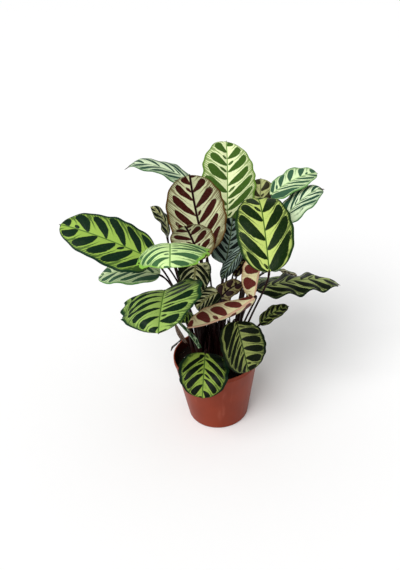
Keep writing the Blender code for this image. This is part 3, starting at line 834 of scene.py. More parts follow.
# %% [markdown]
# The pattern group
#
# The group reads the two stored vectors, lets a noise drift and fray the vein number, and shifts it by
# half a step on the right half, so that the two rows of ovals are staggered. Then it lays the colours
# over each other from the ground up. It also gives a height for the bump of veins and midrib, and says
# where the ovals are, because they shine a little more.

# %% Build the pattern group
VEIN_DRIFT, VEIN_FRAY = 0.16, 0.07
DRIFT_SCALE, FRAY_SCALE, MOTTLE_SCALE = (1.3, 2.2, 9.0), (3.0, 9.0, 9.0), (6.0, 16.0, 40.0)
DRIFT_STEP, FRAY_STEP, MOTTLE_STEP = 7.3, 3.1, 2.7
LEAF_SHIFT = 0.37
INNER_SHADE, OUTER_SHADE, MOTTLE_SHADE = 0.08, 0.4, 0.24
FINE_VEINS = 9.0
RIB_SOFTNESS, TIP_SOFTNESS = 0.35, 0.02


def mark_group():
    """The shader group that draws ovals, lines, margin and midrib from the blade's own numbers."""
    tree, given, result = new_tree("Peacock marks", "ShaderNodeTree", MARK_INPUTS, [
        ("Color", "NodeSocketColor"), ("Height", "NodeSocketFloat"), ("Gloss", "NodeSocketFloat"),
    ])
    blade = add(tree, "ShaderNodeAttribute", attribute_name="blade", out=1)
    rib = add(tree, "ShaderNodeAttribute", attribute_name="rib", out=1)
    seed, lane = rib.part(1), blade.part(1)
    x = abs(lane)
    is_right = lane > 0.0
    drift = add(tree, "ShaderNodeTexNoise", blade * DRIFT_SCALE + seed * DRIFT_STEP, None, 1.0, 2.0)
    fray = add(tree, "ShaderNodeTexNoise", blade * FRAY_SCALE + seed * FRAY_STEP, None, 2.0, 3.0)
    vein = blade.part(0) + (drift - 0.5) * VEIN_DRIFT + (fray - 0.5) * VEIN_FRAY
    shifted = vein + is_right * 0.5 + seed * LEAF_SHIFT
    between = shifted + 0.5
    large = large_ovals(tree, given, shifted, x, is_right, seed)
    ovals = large.at_least(small_ovals(tree, between, x, is_right, seed))
    lines = hair_lines(tree, between, x, is_right, seed) * given["Lines"]

    # The dark margin, the midrib and the drip tip
    rim_start = 1.0 - given["Margin Width"] * (0.7 + drift * 0.6)
    rim = smooth(x - rim_start, -0.05, 0.015)
    rib_edge = given["Rib Width"]
    rib_line = smooth(rib.part(0) / MM, rib_edge + RIB_SOFTNESS, rib_edge - RIB_SOFTNESS)
    tip = smooth(blade.part(2) - given["Tip Start"], 0.0, TIP_SOFTNESS)

    # Colour, from the ground up
    mottle = add(tree, "ShaderNodeTexNoise", blade * MOTTLE_SCALE + seed * MOTTLE_STEP, None, 1.0, 4.0)
    shade = smooth(x, 0.2, 0.8) * INNER_SHADE + smooth(x, 0.74, 1.0) * OUTER_SHADE
    shade = shade + (mottle - 0.5) * MOTTLE_SHADE
    colour = blend(given["Ground"], given["Line"], shade)
    colour = blend(colour, given["Line"], lines)
    colour = blend(colour, given["Oval"], (ovals * (0.93 + mottle * 0.14)).at_most(1.0))
    colour = blend(colour, given["Margin"], rim)
    colour = blend(colour, given["Rib"], rib_line)
    plug(tree, result.inputs[0], blend(colour, given["Tip"], tip))
    fine_veins = sin(vein * (2 * math.pi * FINE_VEINS)) * 0.5
    plug(tree, result.inputs[1], fine_veins * smooth(x, 0.02, 0.1) + mottle * 1.2 + rib_line)
    plug(tree, result.inputs[2], ovals)
    return tree


MARKS = mark_group()
print(f"the pattern group has {len(MARKS.nodes)} nodes")

# %% [markdown]
# The finishes of the leaves
#
# Leaves on one plant differ. Those low down are old and deep green, those in the open are lime, and the
# lower sides are cream with maroon ovals. Some finishes also carry painted light: the palest grounds paint
# the light and the silvery sheen on blades that face the light, so that they look nearly white between
# their ovals, and a few darker copies paint the shade on blades and lower sides that lie in shadow. Each
# finish is one row of colours as a screen shows them, from 0 to 255. The other numbers are shares: how
# wide the ovals are, how far they reach, and how wide the dark margin is.

# %% List the leaf finishes
LEAF_LOOKS = {
    "lime": dict(ground=(150, 182, 78), oval=(14, 38, 22), line=(34, 66, 26), margin=(20, 50, 32),
                 rib=(84, 116, 46), width=0.37, reach=0.86, margin_width=0.08),
    "lake": dict(ground=(130, 154, 64), oval=(2, 12, 4), line=(20, 40, 14), margin=(8, 28, 14),
                 rib=(70, 96, 38), width=0.385, reach=0.84, margin_width=0.11),
    "bright": dict(ground=(182, 200, 106), oval=(12, 34, 4), line=(36, 60, 14), margin=(22, 50, 12),
                   rib=(66, 98, 28), width=0.43, reach=0.87, margin_width=0.08),
    "green": dict(ground=(148, 178, 90), oval=(10, 34, 18), line=(34, 62, 26), margin=(20, 50, 26),
                  rib=(84, 116, 50), width=0.35, margin_width=0.08),
    # Sunlit: partly a young blade's paler green, and partly painted light for light shining through the
    # blade.
    "sunlit": dict(ground=(234, 244, 188), oval=(62, 94, 30), line=(96, 128, 50), margin=(96, 130, 44),
                   rib=(112, 148, 70), width=0.385, reach=0.83, margin_width=0.05),
    # Pale: painted light, a brightened copy of the green finish for a blade whose upper side is lit.
    "pale": dict(ground=(206, 236, 160), oval=(60, 100, 60), line=(86, 126, 60), margin=(126, 176, 66),
                 rib=(110, 148, 76), width=0.3, reach=0.9),
    # Painted sheen: the grey-white ground paints the silvery reflection that a blade shows when seen at a
    # grazing angle.
    "silver": dict(ground=(212, 230, 190), oval=(34, 72, 54), line=(84, 122, 84), margin=(62, 104, 58),
                   rib=(140, 168, 120), width=0.33, reach=0.88, tip_start=0.935),
    # Painted sheen, as in the finish above, a little greener.
    "mint": dict(ground=(206, 226, 176), oval=(52, 88, 64), line=(104, 142, 88), margin=(84, 132, 66),
                 rib=(150, 180, 120), width=0.33, reach=0.86),
    "sepia": dict(ground=(170, 176, 116), oval=(44, 42, 22), line=(86, 84, 48), margin=(92, 88, 42),
                  rib=(116, 120, 78), width=0.36, reach=0.8),
    # Painted shade: a darker copy of the green finish, for blades that lie in shade.
    "olive": dict(ground=(130, 140, 78), oval=(6, 14, 2), line=(20, 32, 8), margin=(10, 22, 6),
                  rib=(44, 62, 24), width=0.41, reach=0.84, margin_width=0.1),
    "striped": dict(ground=(230, 232, 176), oval=(8, 20, 4), line=(36, 52, 18), margin=(18, 34, 12),
                    rib=(160, 160, 108), rib_width=1.6, width=0.415, reach=0.94),
    "deep": dict(ground=(164, 178, 110), oval=(2, 12, 2), line=(18, 34, 12), margin=(10, 26, 8),
                 rib=(44, 64, 30), width=0.42, reach=0.9, margin_width=0.09, tip_start=0.95),
    # Painted sheen: the bluish-grey ground paints a cool reflection on these dark blades deep in the clump.
    "blue": dict(ground=(132, 152, 140), oval=(4, 14, 14), line=(26, 42, 38), margin=(12, 26, 20),
                 rib=(64, 78, 44), width=0.37, reach=0.86),
    "maroon": dict(ground=(212, 216, 172), oval=(60, 18, 14), line=(98, 78, 40), margin=(86, 58, 22),
                   rib=(30, 2, 4), rib_width=1.4, width=0.34, reach=0.76, margin_width=0.05),
    "rose": dict(ground=(220, 212, 166), oval=(92, 34, 30), line=(150, 100, 66), margin=(150, 104, 74),
                 rib=(198, 160, 132), rib_width=0.9, width=0.39, reach=0.86, margin_width=0.02, lines=0.4),
    # Painted shade: a darker copy of the lower-side finish, for lower sides that lie in shade.
    "dusk": dict(ground=(156, 148, 98), oval=(44, 6, 10), line=(72, 42, 20), margin=(54, 24, 12),
                 rib=(26, 2, 6), rib_width=1.4, width=0.36, reach=0.84),
    "withered": dict(ground=(44, 36, 24), oval=(20, 16, 10), line=(28, 22, 14), margin=(18, 14, 8),
                     rib=(32, 26, 16)),
    "dry": dict(ground=(112, 98, 88), oval=(84, 68, 58), line=(62, 46, 38), margin=(62, 44, 34),
                rib=(76, 58, 46)),
}
TIP_COLOUR = (58, 36, 30)
print(f"{len(LEAF_LOOKS)} rows of colours")

# %% [markdown]
# From a row of colours to a material
#
# A material counts light, not screen values, so each colour is made linear first. The pattern group then
# gives the colour, a height for a gentle bump, and the ovals, which shine a little more than the ground.
# A leaf is satin, because its skin is waxy but its veins break up the reflection.

# %% Make the leaf finishes
LEAF_ROUGHNESS, LEAF_SPECULAR, OVAL_GLOSS = 0.45, 0.08, 0.07
LEAF_BUMP, LEAF_BUMP_HEIGHT = 0.35, 0.3 * MM


def screen_colour(rgb):
    """The linear colour of a screen colour given from 0 to 255."""
    shares = [c / 255 for c in rgb]
    return (*[c / 12.92 if c <= 0.04045 else ((c + 0.055) / 1.055) ** 2.4 for c in shares], 1.0)


def paint(tree, rgb):
    """A wire that carries one screen colour."""
    source = add(tree, "ShaderNodeRGB")
    source.socket.default_value = screen_colour(rgb)
    return source


def emboss(tree, shader, height, strength, distance):
    """Lets a height wire raise the surface's shading by a Bump node."""
    bump = tree.nodes.new("ShaderNodeBump")
    bump.inputs["Strength"].default_value = strength
    bump.inputs["Distance"].default_value = distance
    plug(tree, bump.inputs["Height"], height)
    tree.links.new(bump.outputs["Normal"], shader.inputs["Normal"])


def leaf_material(name, ground, oval, line, margin, rib, width=0.27, reach=0.8, margin_width=0.07,
                  rib_width=0.9, lines=0.9, tip_start=0.965):
    """A satin leaf surface with the peacock pattern in these colours."""
    made, tree, shader = new_material("leaf " + name, LEAF_ROUGHNESS, LEAF_SPECULAR)
    marks = tree.nodes.new("ShaderNodeGroup")
    marks.node_tree = MARKS
    colours = dict(Ground=ground, Oval=oval, Line=line, Margin=margin, Rib=rib, Tip=TIP_COLOUR)
    for label, rgb in colours.items():
        marks.inputs[label].default_value = screen_colour(rgb)
    sizes = {"Oval Width": width, "Oval Reach": reach, "Margin Width": margin_width,
             "Rib Width": rib_width, "Lines": lines, "Tip Start": tip_start}
    for label, size in sizes.items():
        marks.inputs[label].default_value = size
    tree.links.new(marks.outputs["Color"], shader.inputs["Base Color"])
    gloss = Wire(tree, marks.outputs["Gloss"])
    plug(tree, shader.inputs["Roughness"], gloss * -OVAL_GLOSS + LEAF_ROUGHNESS)
    emboss(tree, shader, Wire(tree, marks.outputs["Height"]), LEAF_BUMP, LEAF_BUMP_HEIGHT)
    return made


LEAF_MATERIALS = {name: leaf_material(name, **look) for name, look in LEAF_LOOKS.items()}
print(f"{len(LEAF_MATERIALS)} leaf finishes")

# %% [markdown]
# Growing the blades
#
# Now the tree runs once for each leaf. A modifier's inputs are set by the identifiers of the tree's
# sockets, the result is kept as a plain mesh, and the modifier goes. Each blade stands for the solid of
# the same name, and its box is set against the solid's to show that it lies in the same place.

# %% Grow the blades
def radians(pair):
    return [math.radians(angle) for angle in pair]


def grow_blade(lf, seed):
    """One blade of the plant, from its row in the list."""
    left, right = radians(lf["left"]), radians(lf["right"])
    height, count, phase = lf["wave"]
    values = {
        "Base": [c * MM for c in lf["base"]], "Tip": [c * MM for c in lf["tip"]],
        "Face": [float(c) for c in lf["face"]],
        "Width": lf["width"] * MM, "Arch": lf["arch"] * MM, "Sway": lf["sway"] * MM,
        "Curl": float(lf["curl"]), "Twist": math.radians(lf["twist"]), "Belly": float(lf["belly"]),
        "Left In": left[0], "Left Out": left[1], "Right In": right[0], "Right Out": right[1],
        "Wave Height": height * MM, "Wave Count": float(count), "Wave Phase": float(phase),
        "Oval Pairs": float(lf["pairs"]), "Lean Left": float(lf["lean"][0]),
        "Lean Right": float(lf["lean"][1]), "Tip End": float(lf["tip_end"]), "Hook": lf["hook"] * MM,
        "Uneven": float(lf["uneven"]), "Seed": float(seed),
        "Upper": LEAF_MATERIALS[lf["upper"]], "Under": LEAF_MATERIALS[lf["under"]],
    }
    blade = grown("blade_" + lf["name"], BLADE_TREE, values)
    dress(blade, "leaf_blade", "leaf_" + lf["name"])
    return blade


def apart(piece, node):
    """How far the piece's box departs from the solid's, in mm."""
    corners = [Vector(corner) for corner in piece.bound_box]
    low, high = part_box(node)
    own_low = Vector([min(c[i] for c in corners) for i in range(3)])
    own_high = Vector([max(c[i] for c in corners) for i in range(3)])
    return max((own_low - low).length, (own_high - high).length) / MM


furthest = (0.0, "")
for seed, lf in enumerate(LEAVES):
    blade = grow_blade(lf, seed)
    furthest = max(furthest, (apart(blade, "leaf_" + lf["name"]), lf["name"]))
print(f"{len(LEAVES)} blades, the worst fit {furthest[0]:.1f} mm at {furthest[1]}")

# %% [markdown]
# Leaf stalks
#
# Each blade hangs on a thin, stiff, wine-dark stalk. A stalk rises steeply from its shoot, bends over in
# one smooth curve and runs into the midrib in the midrib's own direction. Four pull points are enough
# for that, or five where the stalk swings out first. They are worked out from the leaf's row, as for the
# plain solids.

# %% Run the stalks
SOIL_TOP = 106 * MM
SHOOT_DEPTH = 26 * MM
SHOOT_COLLAR = 16 * MM
MIDRIB_THICK = 2.0 * MM
STALK_SPREAD, INNER_SPREAD = 3.4 * MM, 0.55
FOOT_HANDLE = 0.45
STALK_LEAN = 0.06
STALK_STEPS = 48
INTO_BLADE = 2.5 * MM


def bezier(controls, t):
    """The point at t, from 0 to 1, of the smooth curve that these control points pull."""
    while len(controls) > 1:
        controls = [(1 - t) * a + t * b for a, b in zip(controls, controls[1:])]
    return controls[0]


def flat_unit(v):
    return v / np.linalg.norm(v)


def stalk_points(lf, slot):
    """Points of a leaf stalk, from deep in its shoot's foot to just inside its blade."""
    x, y = [c * MM for c in SHOOTS[lf["shoot"]]]
    base, tip = np.array(lf["base"]) * MM, np.array(lf["tip"]) * MM
    chord = tip - base
    along = flat_unit(chord)
    face = np.array(lf["face"])
    up = flat_unit(face - (face @ along) * along)
    right = np.cross(along, up)
    heading = flat_unit(chord + (lf["arch"] * up + lf["sway"] * right) * 4 * MM)
    over = np.cross(flat_unit(np.cross(heading, up)), heading)
    bearing = math.atan2(base[1] - y, base[0] - x)
    spread = STALK_SPREAD * (1.0 if slot % 2 else INNER_SPREAD)
    foot = np.array([x + spread * math.cos(bearing), y + spread * math.sin(bearing),
                     SOIL_TOP - 0.5 * SHOOT_DEPTH])
    joint = base - 0.5 * MIDRIB_THICK * over
    swing = np.array(lf["swing"]) * MM
    first = foot + np.array([0, 0, FOOT_HANDLE * (joint[2] - foot[2] + swing[2])])
    first = first + np.array([base[0] - x, base[1] - y, 0]) * STALK_LEAN
    last = joint - lf["reach"] * MM * heading
    controls = [foot, first, last, joint + INTO_BLADE * heading]
    if swing.any():
        controls.insert(2, last + swing)
    return [bezier(controls, t) for t in np.linspace(0, 1, STALK_STEPS)]


print(f"{STALK_STEPS} points on each stalk")

# %% [markdown]
# A stalk's thickness
#
# A stalk is a little thicker where it meets the blade, and clasps its neighbours with a wide sheath at
# its foot. A bevelled curve would give one thickness. Here each stalk is a line of points with a number
# that runs from 0 at the foot to 1 at the blade, and a tree sweeps a circle along it whose size follows
# that number. All stalks of one shoot are one piece.

# %% Build the stalk tree
STALK_THIN, STALK_FOOT, FOOT_SHARE = 1.45 * MM, 4.2 * MM, 0.26
KNEE_SWELL, KNEE_SHARE = 0.35 * MM, 0.07
STALK_SIDES = 12


def stalk_tree():
    """The tree that sweeps a round, swelling stalk along each line of the start mesh."""
    tree, given, result = new_tree("Leaf stalks", "GeometryNodeTree", [
        ("Lines", None), ("Thin Radius", 0.0015), ("Foot Radius", 0.003), ("Knee Swell", 0.0004),
        ("Sides", 12), ("Material", ""),
    ], [("Geometry", "NodeSocketGeometry")])
    share = recalled(tree, "share")
    foot = exp(-((share / FOOT_SHARE) ** 2)) * (given["Foot Radius"] - given["Thin Radius"])
    knee = smooth(share, 1.0 - KNEE_SHARE * 1.6, 1.0 - KNEE_SHARE) * given["Knee Swell"]
    radius = given["Thin Radius"] + foot + knee
    curve = add(tree, "GeometryNodeMeshToCurve", given["Lines"])
    circle = add(tree, "GeometryNodeCurvePrimitiveCircle", given["Sides"], None, None, None, 1.0)
    swept_mesh = add(tree, "GeometryNodeCurveToMesh", curve, circle, radius, True)
    swept_mesh = add(tree, "GeometryNodeSetShadeSmooth", swept_mesh, None, True)
    realised = add(tree, "GeometryNodeRealizeInstances", swept_mesh)
    plug(tree, result.inputs[0], add(tree, "GeometryNodeSetMaterial", realised, None, given["Material"]))
    return tree


STALK_TREE = stalk_tree()
print(f"the stalk tree has {len(STALK_TREE.nodes)} nodes")

# %% [markdown]
# Old sheaths round the shoots
#
# Every shoot keeps the dead, pointed sheaths of its first leaves, which stand round the stalks like a
# ruff and fill the clump with dark. They repeat, so one gutter-shaped sheath is bent from a grid and set
# round the shoot's axis on a few points, each copy turned, leaned and stretched by its own chance.

# %% Build the sheath tree
SHEATH_ACROSS, SHEATH_ALONG = 9, 15
SHEATH_POINT = 2.2
SHEATH_BULGE, SHEATH_TAPER = 0.12, 0.25
SHEATH_EDGE, SHEATH_ENDS = 9.0, 30.0
GOLDEN_TURN = 2.4
LEAST_LEAN, MOST_LEAN = (-0.1, -0.1, -0.4), (0.1, 0.1, 0.4)
LEAST_STRETCH, MOST_STRETCH = (0.85, 0.85, 0.4), (1.1, 1.1, 1.25)


def sheath_tree():
    """The tree that sets pointed, curled sheaths round a shoot."""
    tree, given, result = new_tree("Old sheaths", "GeometryNodeTree", [
        ("Place", (0.0, 0.0, 0.0)), ("Count", 7), ("Height", 0.06), ("Foot Radius", 0.008), ("Flare", 0.004),
        ("Half Spread", 1.1), ("Thickness", 0.0008), ("Seed", 0), ("Material", ""),
    ], [("Geometry", "NodeSocketGeometry")])
    grid = add(tree, "GeometryNodeMeshGrid", 1.0, 2.0, SHEATH_ALONG, SHEATH_ACROSS)
    place = add(tree, "GeometryNodeInputPosition")
    up, side = place.part(0) + 0.5, place.part(1)
    narrow = (1.0 - up**SHEATH_POINT).at_least(0.0) * 0.97 + 0.03
    angle = side * given["Half Spread"] * narrow
    bulge = sin(up * math.pi) * SHEATH_BULGE + 1.0
    radius = given["Foot Radius"] * bulge * (1.0 - up * SHEATH_TAPER) + given["Flare"] * up**3.0
    inside = ((1.0 - abs(side)) * SHEATH_EDGE).at_most(1.0)
    inside = inside * ((1.0 - up) * SHEATH_ENDS).at_most(1.0) * (up * SHEATH_ENDS).at_most(1.0)
    sheet = stored(tree, grid, "inside", inside)
    outer = add(tree, "GeometryNodeSetPosition", sheet, None,
                vector(tree, radius * cos(angle), radius * sin(angle), up * given["Height"]))
    inner = add(tree, "GeometryNodeFlipFaces", outer)
    inner = add(tree, "GeometryNodeSetPosition", inner, None, None,
                add(tree, "GeometryNodeInputNormal") * (recalled(tree, "inside") * given["Thickness"]))
    sheath = add(tree, "GeometryNodeMergeByDistance", joined(tree, inner, outer), None, SAME_POINT)
    sheath = add(tree, "GeometryNodeSetShadeSmooth", sheath, None, True)

    points = add(tree, "GeometryNodePoints", given["Count"], given["Place"], 0.001)
    index = add(tree, "GeometryNodeInputIndex")
    lean = add(tree, "FunctionNodeRandomValue", LEAST_LEAN, MOST_LEAN, data_type="FLOAT_VECTOR")
    tall = add(tree, "FunctionNodeRandomValue", LEAST_STRETCH, MOST_STRETCH, data_type="FLOAT_VECTOR")
    for chance, step in ((lean, 0), (tall, 100)):
        plug(tree, chance.socket.node.inputs["Seed"], given["Seed"] + step)
    turn = lean + vector(tree, 0.0, 0.0, index * GOLDEN_TURN)
    ring = add(tree, "GeometryNodeInstanceOnPoints", points, None, sheath, None, None, turn, tall)
    realised = add(tree, "GeometryNodeRealizeInstances", ring)
    plug(tree, result.inputs[0], add(tree, "GeometryNodeSetMaterial", realised, None, given["Material"]))
    return tree


SHEATH_TREE = sheath_tree()
print(f"the sheath tree has {len(SHEATH_TREE.nodes)} nodes")

# %% [markdown]
# The look of the stalks
#
# The stalks are a dark wine red that turns browner at the foot, with faint lengthwise streaks and a
# satin skin. The streaks come from a noise that is stretched along Z, because stalks rise steeply.

# %% Make the stalk finish
STALK_COLOUR, STALK_FOOT_COLOUR, STREAK_COLOUR = (24, 4, 4), (28, 8, 6), (56, 20, 13)
STALK_ROUGHNESS, STALK_SPECULAR = 0.5, 0.1
BROWN_HEIGHT = 60 * MM
STREAK_SCALE, STREAK_STRENGTH = (500.0, 500.0, 40.0), 0.6
STREAK_BUMP, STREAK_BUMP_HEIGHT = 0.4, 0.4 * MM


def stalk_material():
    """Wine-dark and streaked, browner at the foot."""
    made, tree, shader = new_material("stalk", STALK_ROUGHNESS, STALK_SPECULAR)
    where = add(tree, "ShaderNodeTexCoord", out=3)
    streak = add(tree, "ShaderNodeTexNoise", where * STREAK_SCALE, None, 1.0, 3.0)
    height = smooth(where.part(2), SOIL_TOP, SOIL_TOP + BROWN_HEIGHT)
    colour = blend(paint(tree, STALK_FOOT_COLOUR), paint(tree, STALK_COLOUR), height)
    colour = blend(colour, paint(tree, STREAK_COLOUR), smooth(streak, 0.5, 0.75) * STREAK_STRENGTH)
    plug(tree, shader.inputs["Base Color"], colour)
    emboss(tree, shader, streak, STREAK_BUMP, STREAK_BUMP_HEIGHT)
    return made


STALK_MATERIAL = stalk_material()
print("stalk finish ready")

# %% [markdown]
# The foot of a shoot
#
# The stalks of a shoot rise from one foot, a cone whose ribs are the rolled sheaths inside it. It is a
# plain ring mesh, because its ribs are only a wave in its radius. The stalks start as lines of points,
# and each point keeps its share of the way along its line for the stalk tree.

# %% Shape the foot and the lines
SHEATH_RINGS, SHEATH_SECTORS = 14, 48
SHEATH_FOOT, SHEATH_NECK = 7.5 * MM, 4.6 * MM
RIB_RISE, RIB_TURN = 0.13, 1.5
CLOSING_START, LEAST_CLOSING = 0.8, 0.15


def line_mesh(name, lines):
    """A mesh of separate lines, each point with its share of the way along its line."""
    mesh = bpy.data.meshes.new(name)
    points, edges, shares = [], [], []
    for line in lines:
        first = len(points)
        points += [tuple(p) for p in line]
        edges += [(first + i, first + i + 1) for i in range(len(line) - 1)]
        shares += list(np.linspace(0, 1, len(line)))
    mesh.from_pydata(points, edges, [])
    attribute = mesh.attributes.new("share", "FLOAT", "POINT")
    attribute.data.foreach_set("value", shares)
    return mesh


def sheath_mesh(shoot, ribs):
    """The ribbed foot of a shoot, closed at its ends."""
    x, y = [c * MM for c in SHOOTS[shoot]]
    angle = np.linspace(0, 2 * math.pi, SHEATH_SECTORS, endpoint=False)
    points, faces = [], []
    low, high = SOIL_TOP - SHOOT_DEPTH, SOIL_TOP + SHOOT_COLLAR
    for k in range(SHEATH_RINGS + 1):
        share = k / SHEATH_RINGS
        radius = SHEATH_FOOT + (SHEATH_NECK - SHEATH_FOOT) * share
        waves = np.abs(np.sin(0.5 * ribs * angle + RIB_TURN * share))
        lobes = 1 + RIB_RISE * waves * math.sin(math.pi * share)
        past = max(0.0, (share - CLOSING_START) / (1 - CLOSING_START))
        closing = math.sqrt(max(0.0, 1 - past**2)) * (1 - LEAST_CLOSING) + LEAST_CLOSING
        for a, lobe in zip(angle, lobes):
            r = radius * lobe * closing
            points.append((x + r * math.cos(a), y + r * math.sin(a), low + (high - low) * share))
    n = SHEATH_SECTORS
    for k in range(SHEATH_RINGS):
        faces += [(k * n + i, k * n + (i + 1) % n, (k + 1) * n + (i + 1) % n, (k + 1) * n + i)
                  for i in range(n)]
    faces += [tuple(reversed(range(n))), tuple(range(SHEATH_RINGS * n, SHEATH_RINGS * n + n))]
    mesh = bpy.data.meshes.new("sheath")
    mesh.from_pydata(points, [], faces)
    mesh.shade_smooth()
    mesh.materials.append(STALK_MATERIAL)
    return mesh


print(f"a foot is {2 * SHEATH_FOOT / MM:.0f} mm thick in the soil")

# %% [markdown]
# Growing the shoots
#
# For each shoot the stalk tree runs once on the lines of all its stalks. The foot and the ruff of old
# sheaths are joined to the same mesh, so that a shoot stays one piece, as it is on the plant.

# %% Grow the shoots
OLD_SHEATHS = 9
OLD_SHEATH_HEIGHT = 78 * MM
OLD_SHEATH_RADIUS = 8.5 * MM
OLD_SHEATH_FLARE, OLD_SHEATH_THICKNESS = 3 * MM, 0.9 * MM
OLD_SHEATH_SINK, OLD_SHEATH_SPREAD = 3 * MM, 1.0
OLD_SHEATH_SEED = 11


def join_mesh(piece, mesh):
    """Adds a second mesh to a piece's own."""
    extra = bpy.data.objects.new("extra", mesh)
    bpy.context.scene.collection.objects.link(extra)
    join_piece(piece, extra)


def join_piece(piece, extra):
    """Adds a second object to a piece, with its finish."""
    with bpy.context.temp_override(active_object=piece, selected_editable_objects=[piece, extra]):
        bpy.ops.object.join()


for shoot in SHOOTS:
    leaves = [lf for lf in LEAVES if lf["shoot"] == shoot]
    lines = line_mesh("petioles_" + shoot, [stalk_points(lf, slot) for slot, lf in enumerate(leaves)])
    petioles = grown("petioles_" + shoot, STALK_TREE, {
        "Thin Radius": STALK_THIN, "Foot Radius": STALK_FOOT, "Knee Swell": KNEE_SWELL,
        "Sides": STALK_SIDES, "Material": STALK_MATERIAL,
    }, start=lines)
    join_mesh(petioles, sheath_mesh(shoot, 5 + len(leaves)))
    x, y = [c * MM for c in SHOOTS[shoot]]
    old = grown("old_sheaths_" + shoot, SHEATH_TREE, {
        "Place": (x, y, SOIL_TOP - OLD_SHEATH_SINK), "Count": OLD_SHEATHS, "Height": OLD_SHEATH_HEIGHT,
        "Foot Radius": OLD_SHEATH_RADIUS, "Flare": OLD_SHEATH_FLARE, "Half Spread": OLD_SHEATH_SPREAD,
        "Thickness": OLD_SHEATH_THICKNESS, "Seed": len(leaves) + OLD_SHEATH_SEED,
        "Material": STALK_MATERIAL,
    })
    join_piece(petioles, old)
    dress(petioles, "leaf_stalk", "stalks_" + shoot)
print(f"{len(SHOOTS)} shoots")

# %% [markdown]
# The pot
#
# A nursery pot is one thin moulded shell: a tapered wall with a plain band round its rim, and a floor
# with a raised ring channel that holds the drain holes. Its section is the same all round, so it is
# drawn once as a profile. Straight stretches need only their ends, and the round corners are arcs.

# %% Draw the pot's profile
POT_HEIGHT, RIM_RADIUS, RIM_BAND, RIM_STEP = 120 * MM, 70 * MM, 7 * MM, 1.3 * MM
LIP_WIDTH, LIP_ROUND = 2.0 * MM, 0.7 * MM
FOOT_RADIUS, FOOT_ROUND, WALL = 51.6 * MM, 3 * MM, 1.5 * MM
CHANNEL_INNER, CHANNEL_OUTER, CHANNEL_RISE = 31 * MM, 45 * MM, 2.5 * MM


def wall_radius(z):
    """Outer radius of the pot's wall below its rim band."""
    return FOOT_RADIUS + (RIM_RADIUS - RIM_STEP - FOOT_RADIUS) * z / (POT_HEIGHT - RIM_BAND)


def arc(centre, radius, start, end, steps=5):
    """Points of a round corner in a profile, from one angle to another in degrees."""
    angles = np.radians(np.linspace(start, end, steps))
    return [(centre[0] + radius * math.cos(a), centre[1] + radius * math.sin(a)) for a in angles]


def pot_profile():
    """(radius, height) points down the pot's outer side, from the middle of its floor over the lip."""
    band_foot = POT_HEIGHT - RIM_BAND
    floor_top = CHANNEL_RISE + WALL
    foot_floor = 1.4 * WALL
    lip = RIM_RADIUS - LIP_ROUND, POT_HEIGHT - LIP_ROUND
    inner_lip = RIM_RADIUS - LIP_WIDTH + LIP_ROUND, POT_HEIGHT - LIP_ROUND
    return [
        (0, WALL), (CHANNEL_INNER - WALL, WALL), (CHANNEL_INNER, floor_top), (CHANNEL_OUTER, floor_top),
        (CHANNEL_OUTER + WALL, foot_floor), (FOOT_RADIUS - FOOT_ROUND, foot_floor),
        (wall_radius(floor_top + WALL) - WALL, floor_top + WALL),
        (wall_radius(band_foot) - WALL, band_foot),
        *arc(inner_lip, LIP_ROUND, 180, 90), *arc(lip, LIP_ROUND, 90, 0),
        (RIM_RADIUS - 0.2 * LIP_ROUND, band_foot + 0.5 * LIP_ROUND),
        (RIM_RADIUS - 0.7 * LIP_ROUND, band_foot),
        (wall_radius(band_foot) + 0.1 * MM, band_foot - 0.15 * LIP_ROUND),
        (wall_radius(band_foot - LIP_ROUND), band_foot - LIP_ROUND),
        *arc((FOOT_RADIUS - FOOT_ROUND, FOOT_ROUND), FOOT_ROUND, 0, -90, 7),
        (CHANNEL_OUTER, 0), (CHANNEL_OUTER - WALL, CHANNEL_RISE), (CHANNEL_INNER + WALL, CHANNEL_RISE),
        (CHANNEL_INNER, 0), (0, 0),
    ]


print(f"a profile of {len(pot_profile())} points")

# %% [markdown]
# Turning and drilling
#
# A Screw modifier turns the profile, with many more steps than the plain solid has, so that the rim is
# round to the eye. The drain holes are cut by a Boolean with one short cylinder each.

# %% Turn the pot
POT_STEPS = 160
POT_SHARP = 35
DRAIN_HOLES, DRAIN_RADIUS, DRAIN_TURN = 8, 4 * MM, math.radians(11)


def evaluated(piece):
    """Keeps the piece's evaluated mesh, and drops its modifiers."""
    bpy.context.view_layer.update()
    mesh = bpy.data.meshes.new_from_object(piece.evaluated_get(bpy.context.evaluated_depsgraph_get()))
    piece.modifiers.clear()
    piece.data = mesh


def turned(name, profile, steps):
    """A closed solid turned about Z from a profile that runs down its outer side."""
    mesh = bpy.data.meshes.new(name)
    mesh.from_pydata([(r, 0, z) for r, z in profile], [(i, i + 1) for i in range(len(profile) - 1)], [])
    made = bpy.data.objects.new(name, mesh)
    bpy.context.scene.collection.objects.link(made)
    screw = made.modifiers.new("Turn", "SCREW")
    screw.steps = screw.render_steps = steps
    screw.use_merge_vertices = True
    screw.merge_threshold = 1e-6
    evaluated(made)
    return made


pot = turned("nursery_pot", pot_profile(), POT_STEPS)
for i in range(DRAIN_HOLES):
    angle = 2 * math.pi * i / DRAIN_HOLES + DRAIN_TURN
    middle = 0.5 * (CHANNEL_INNER + CHANNEL_OUTER)
    bpy.ops.mesh.primitive_cylinder_add(
        vertices=32, radius=DRAIN_RADIUS, depth=4 * WALL,
        location=(middle * math.cos(angle), middle * math.sin(angle), CHANNEL_RISE),
    )
    drill = bpy.context.object
    hole = pot.modifiers.new("Hole", "BOOLEAN")
    hole.object = drill
    evaluated(pot)
    bpy.data.objects.remove(drill, do_unlink=True)
pot.data.shade_smooth()
pot.data.set_sharp_from_angle(angle=math.radians(POT_SHARP))
dress(pot, "pot_plastic", "pot")
print(f"pot with {len(pot.data.polygons)} faces")
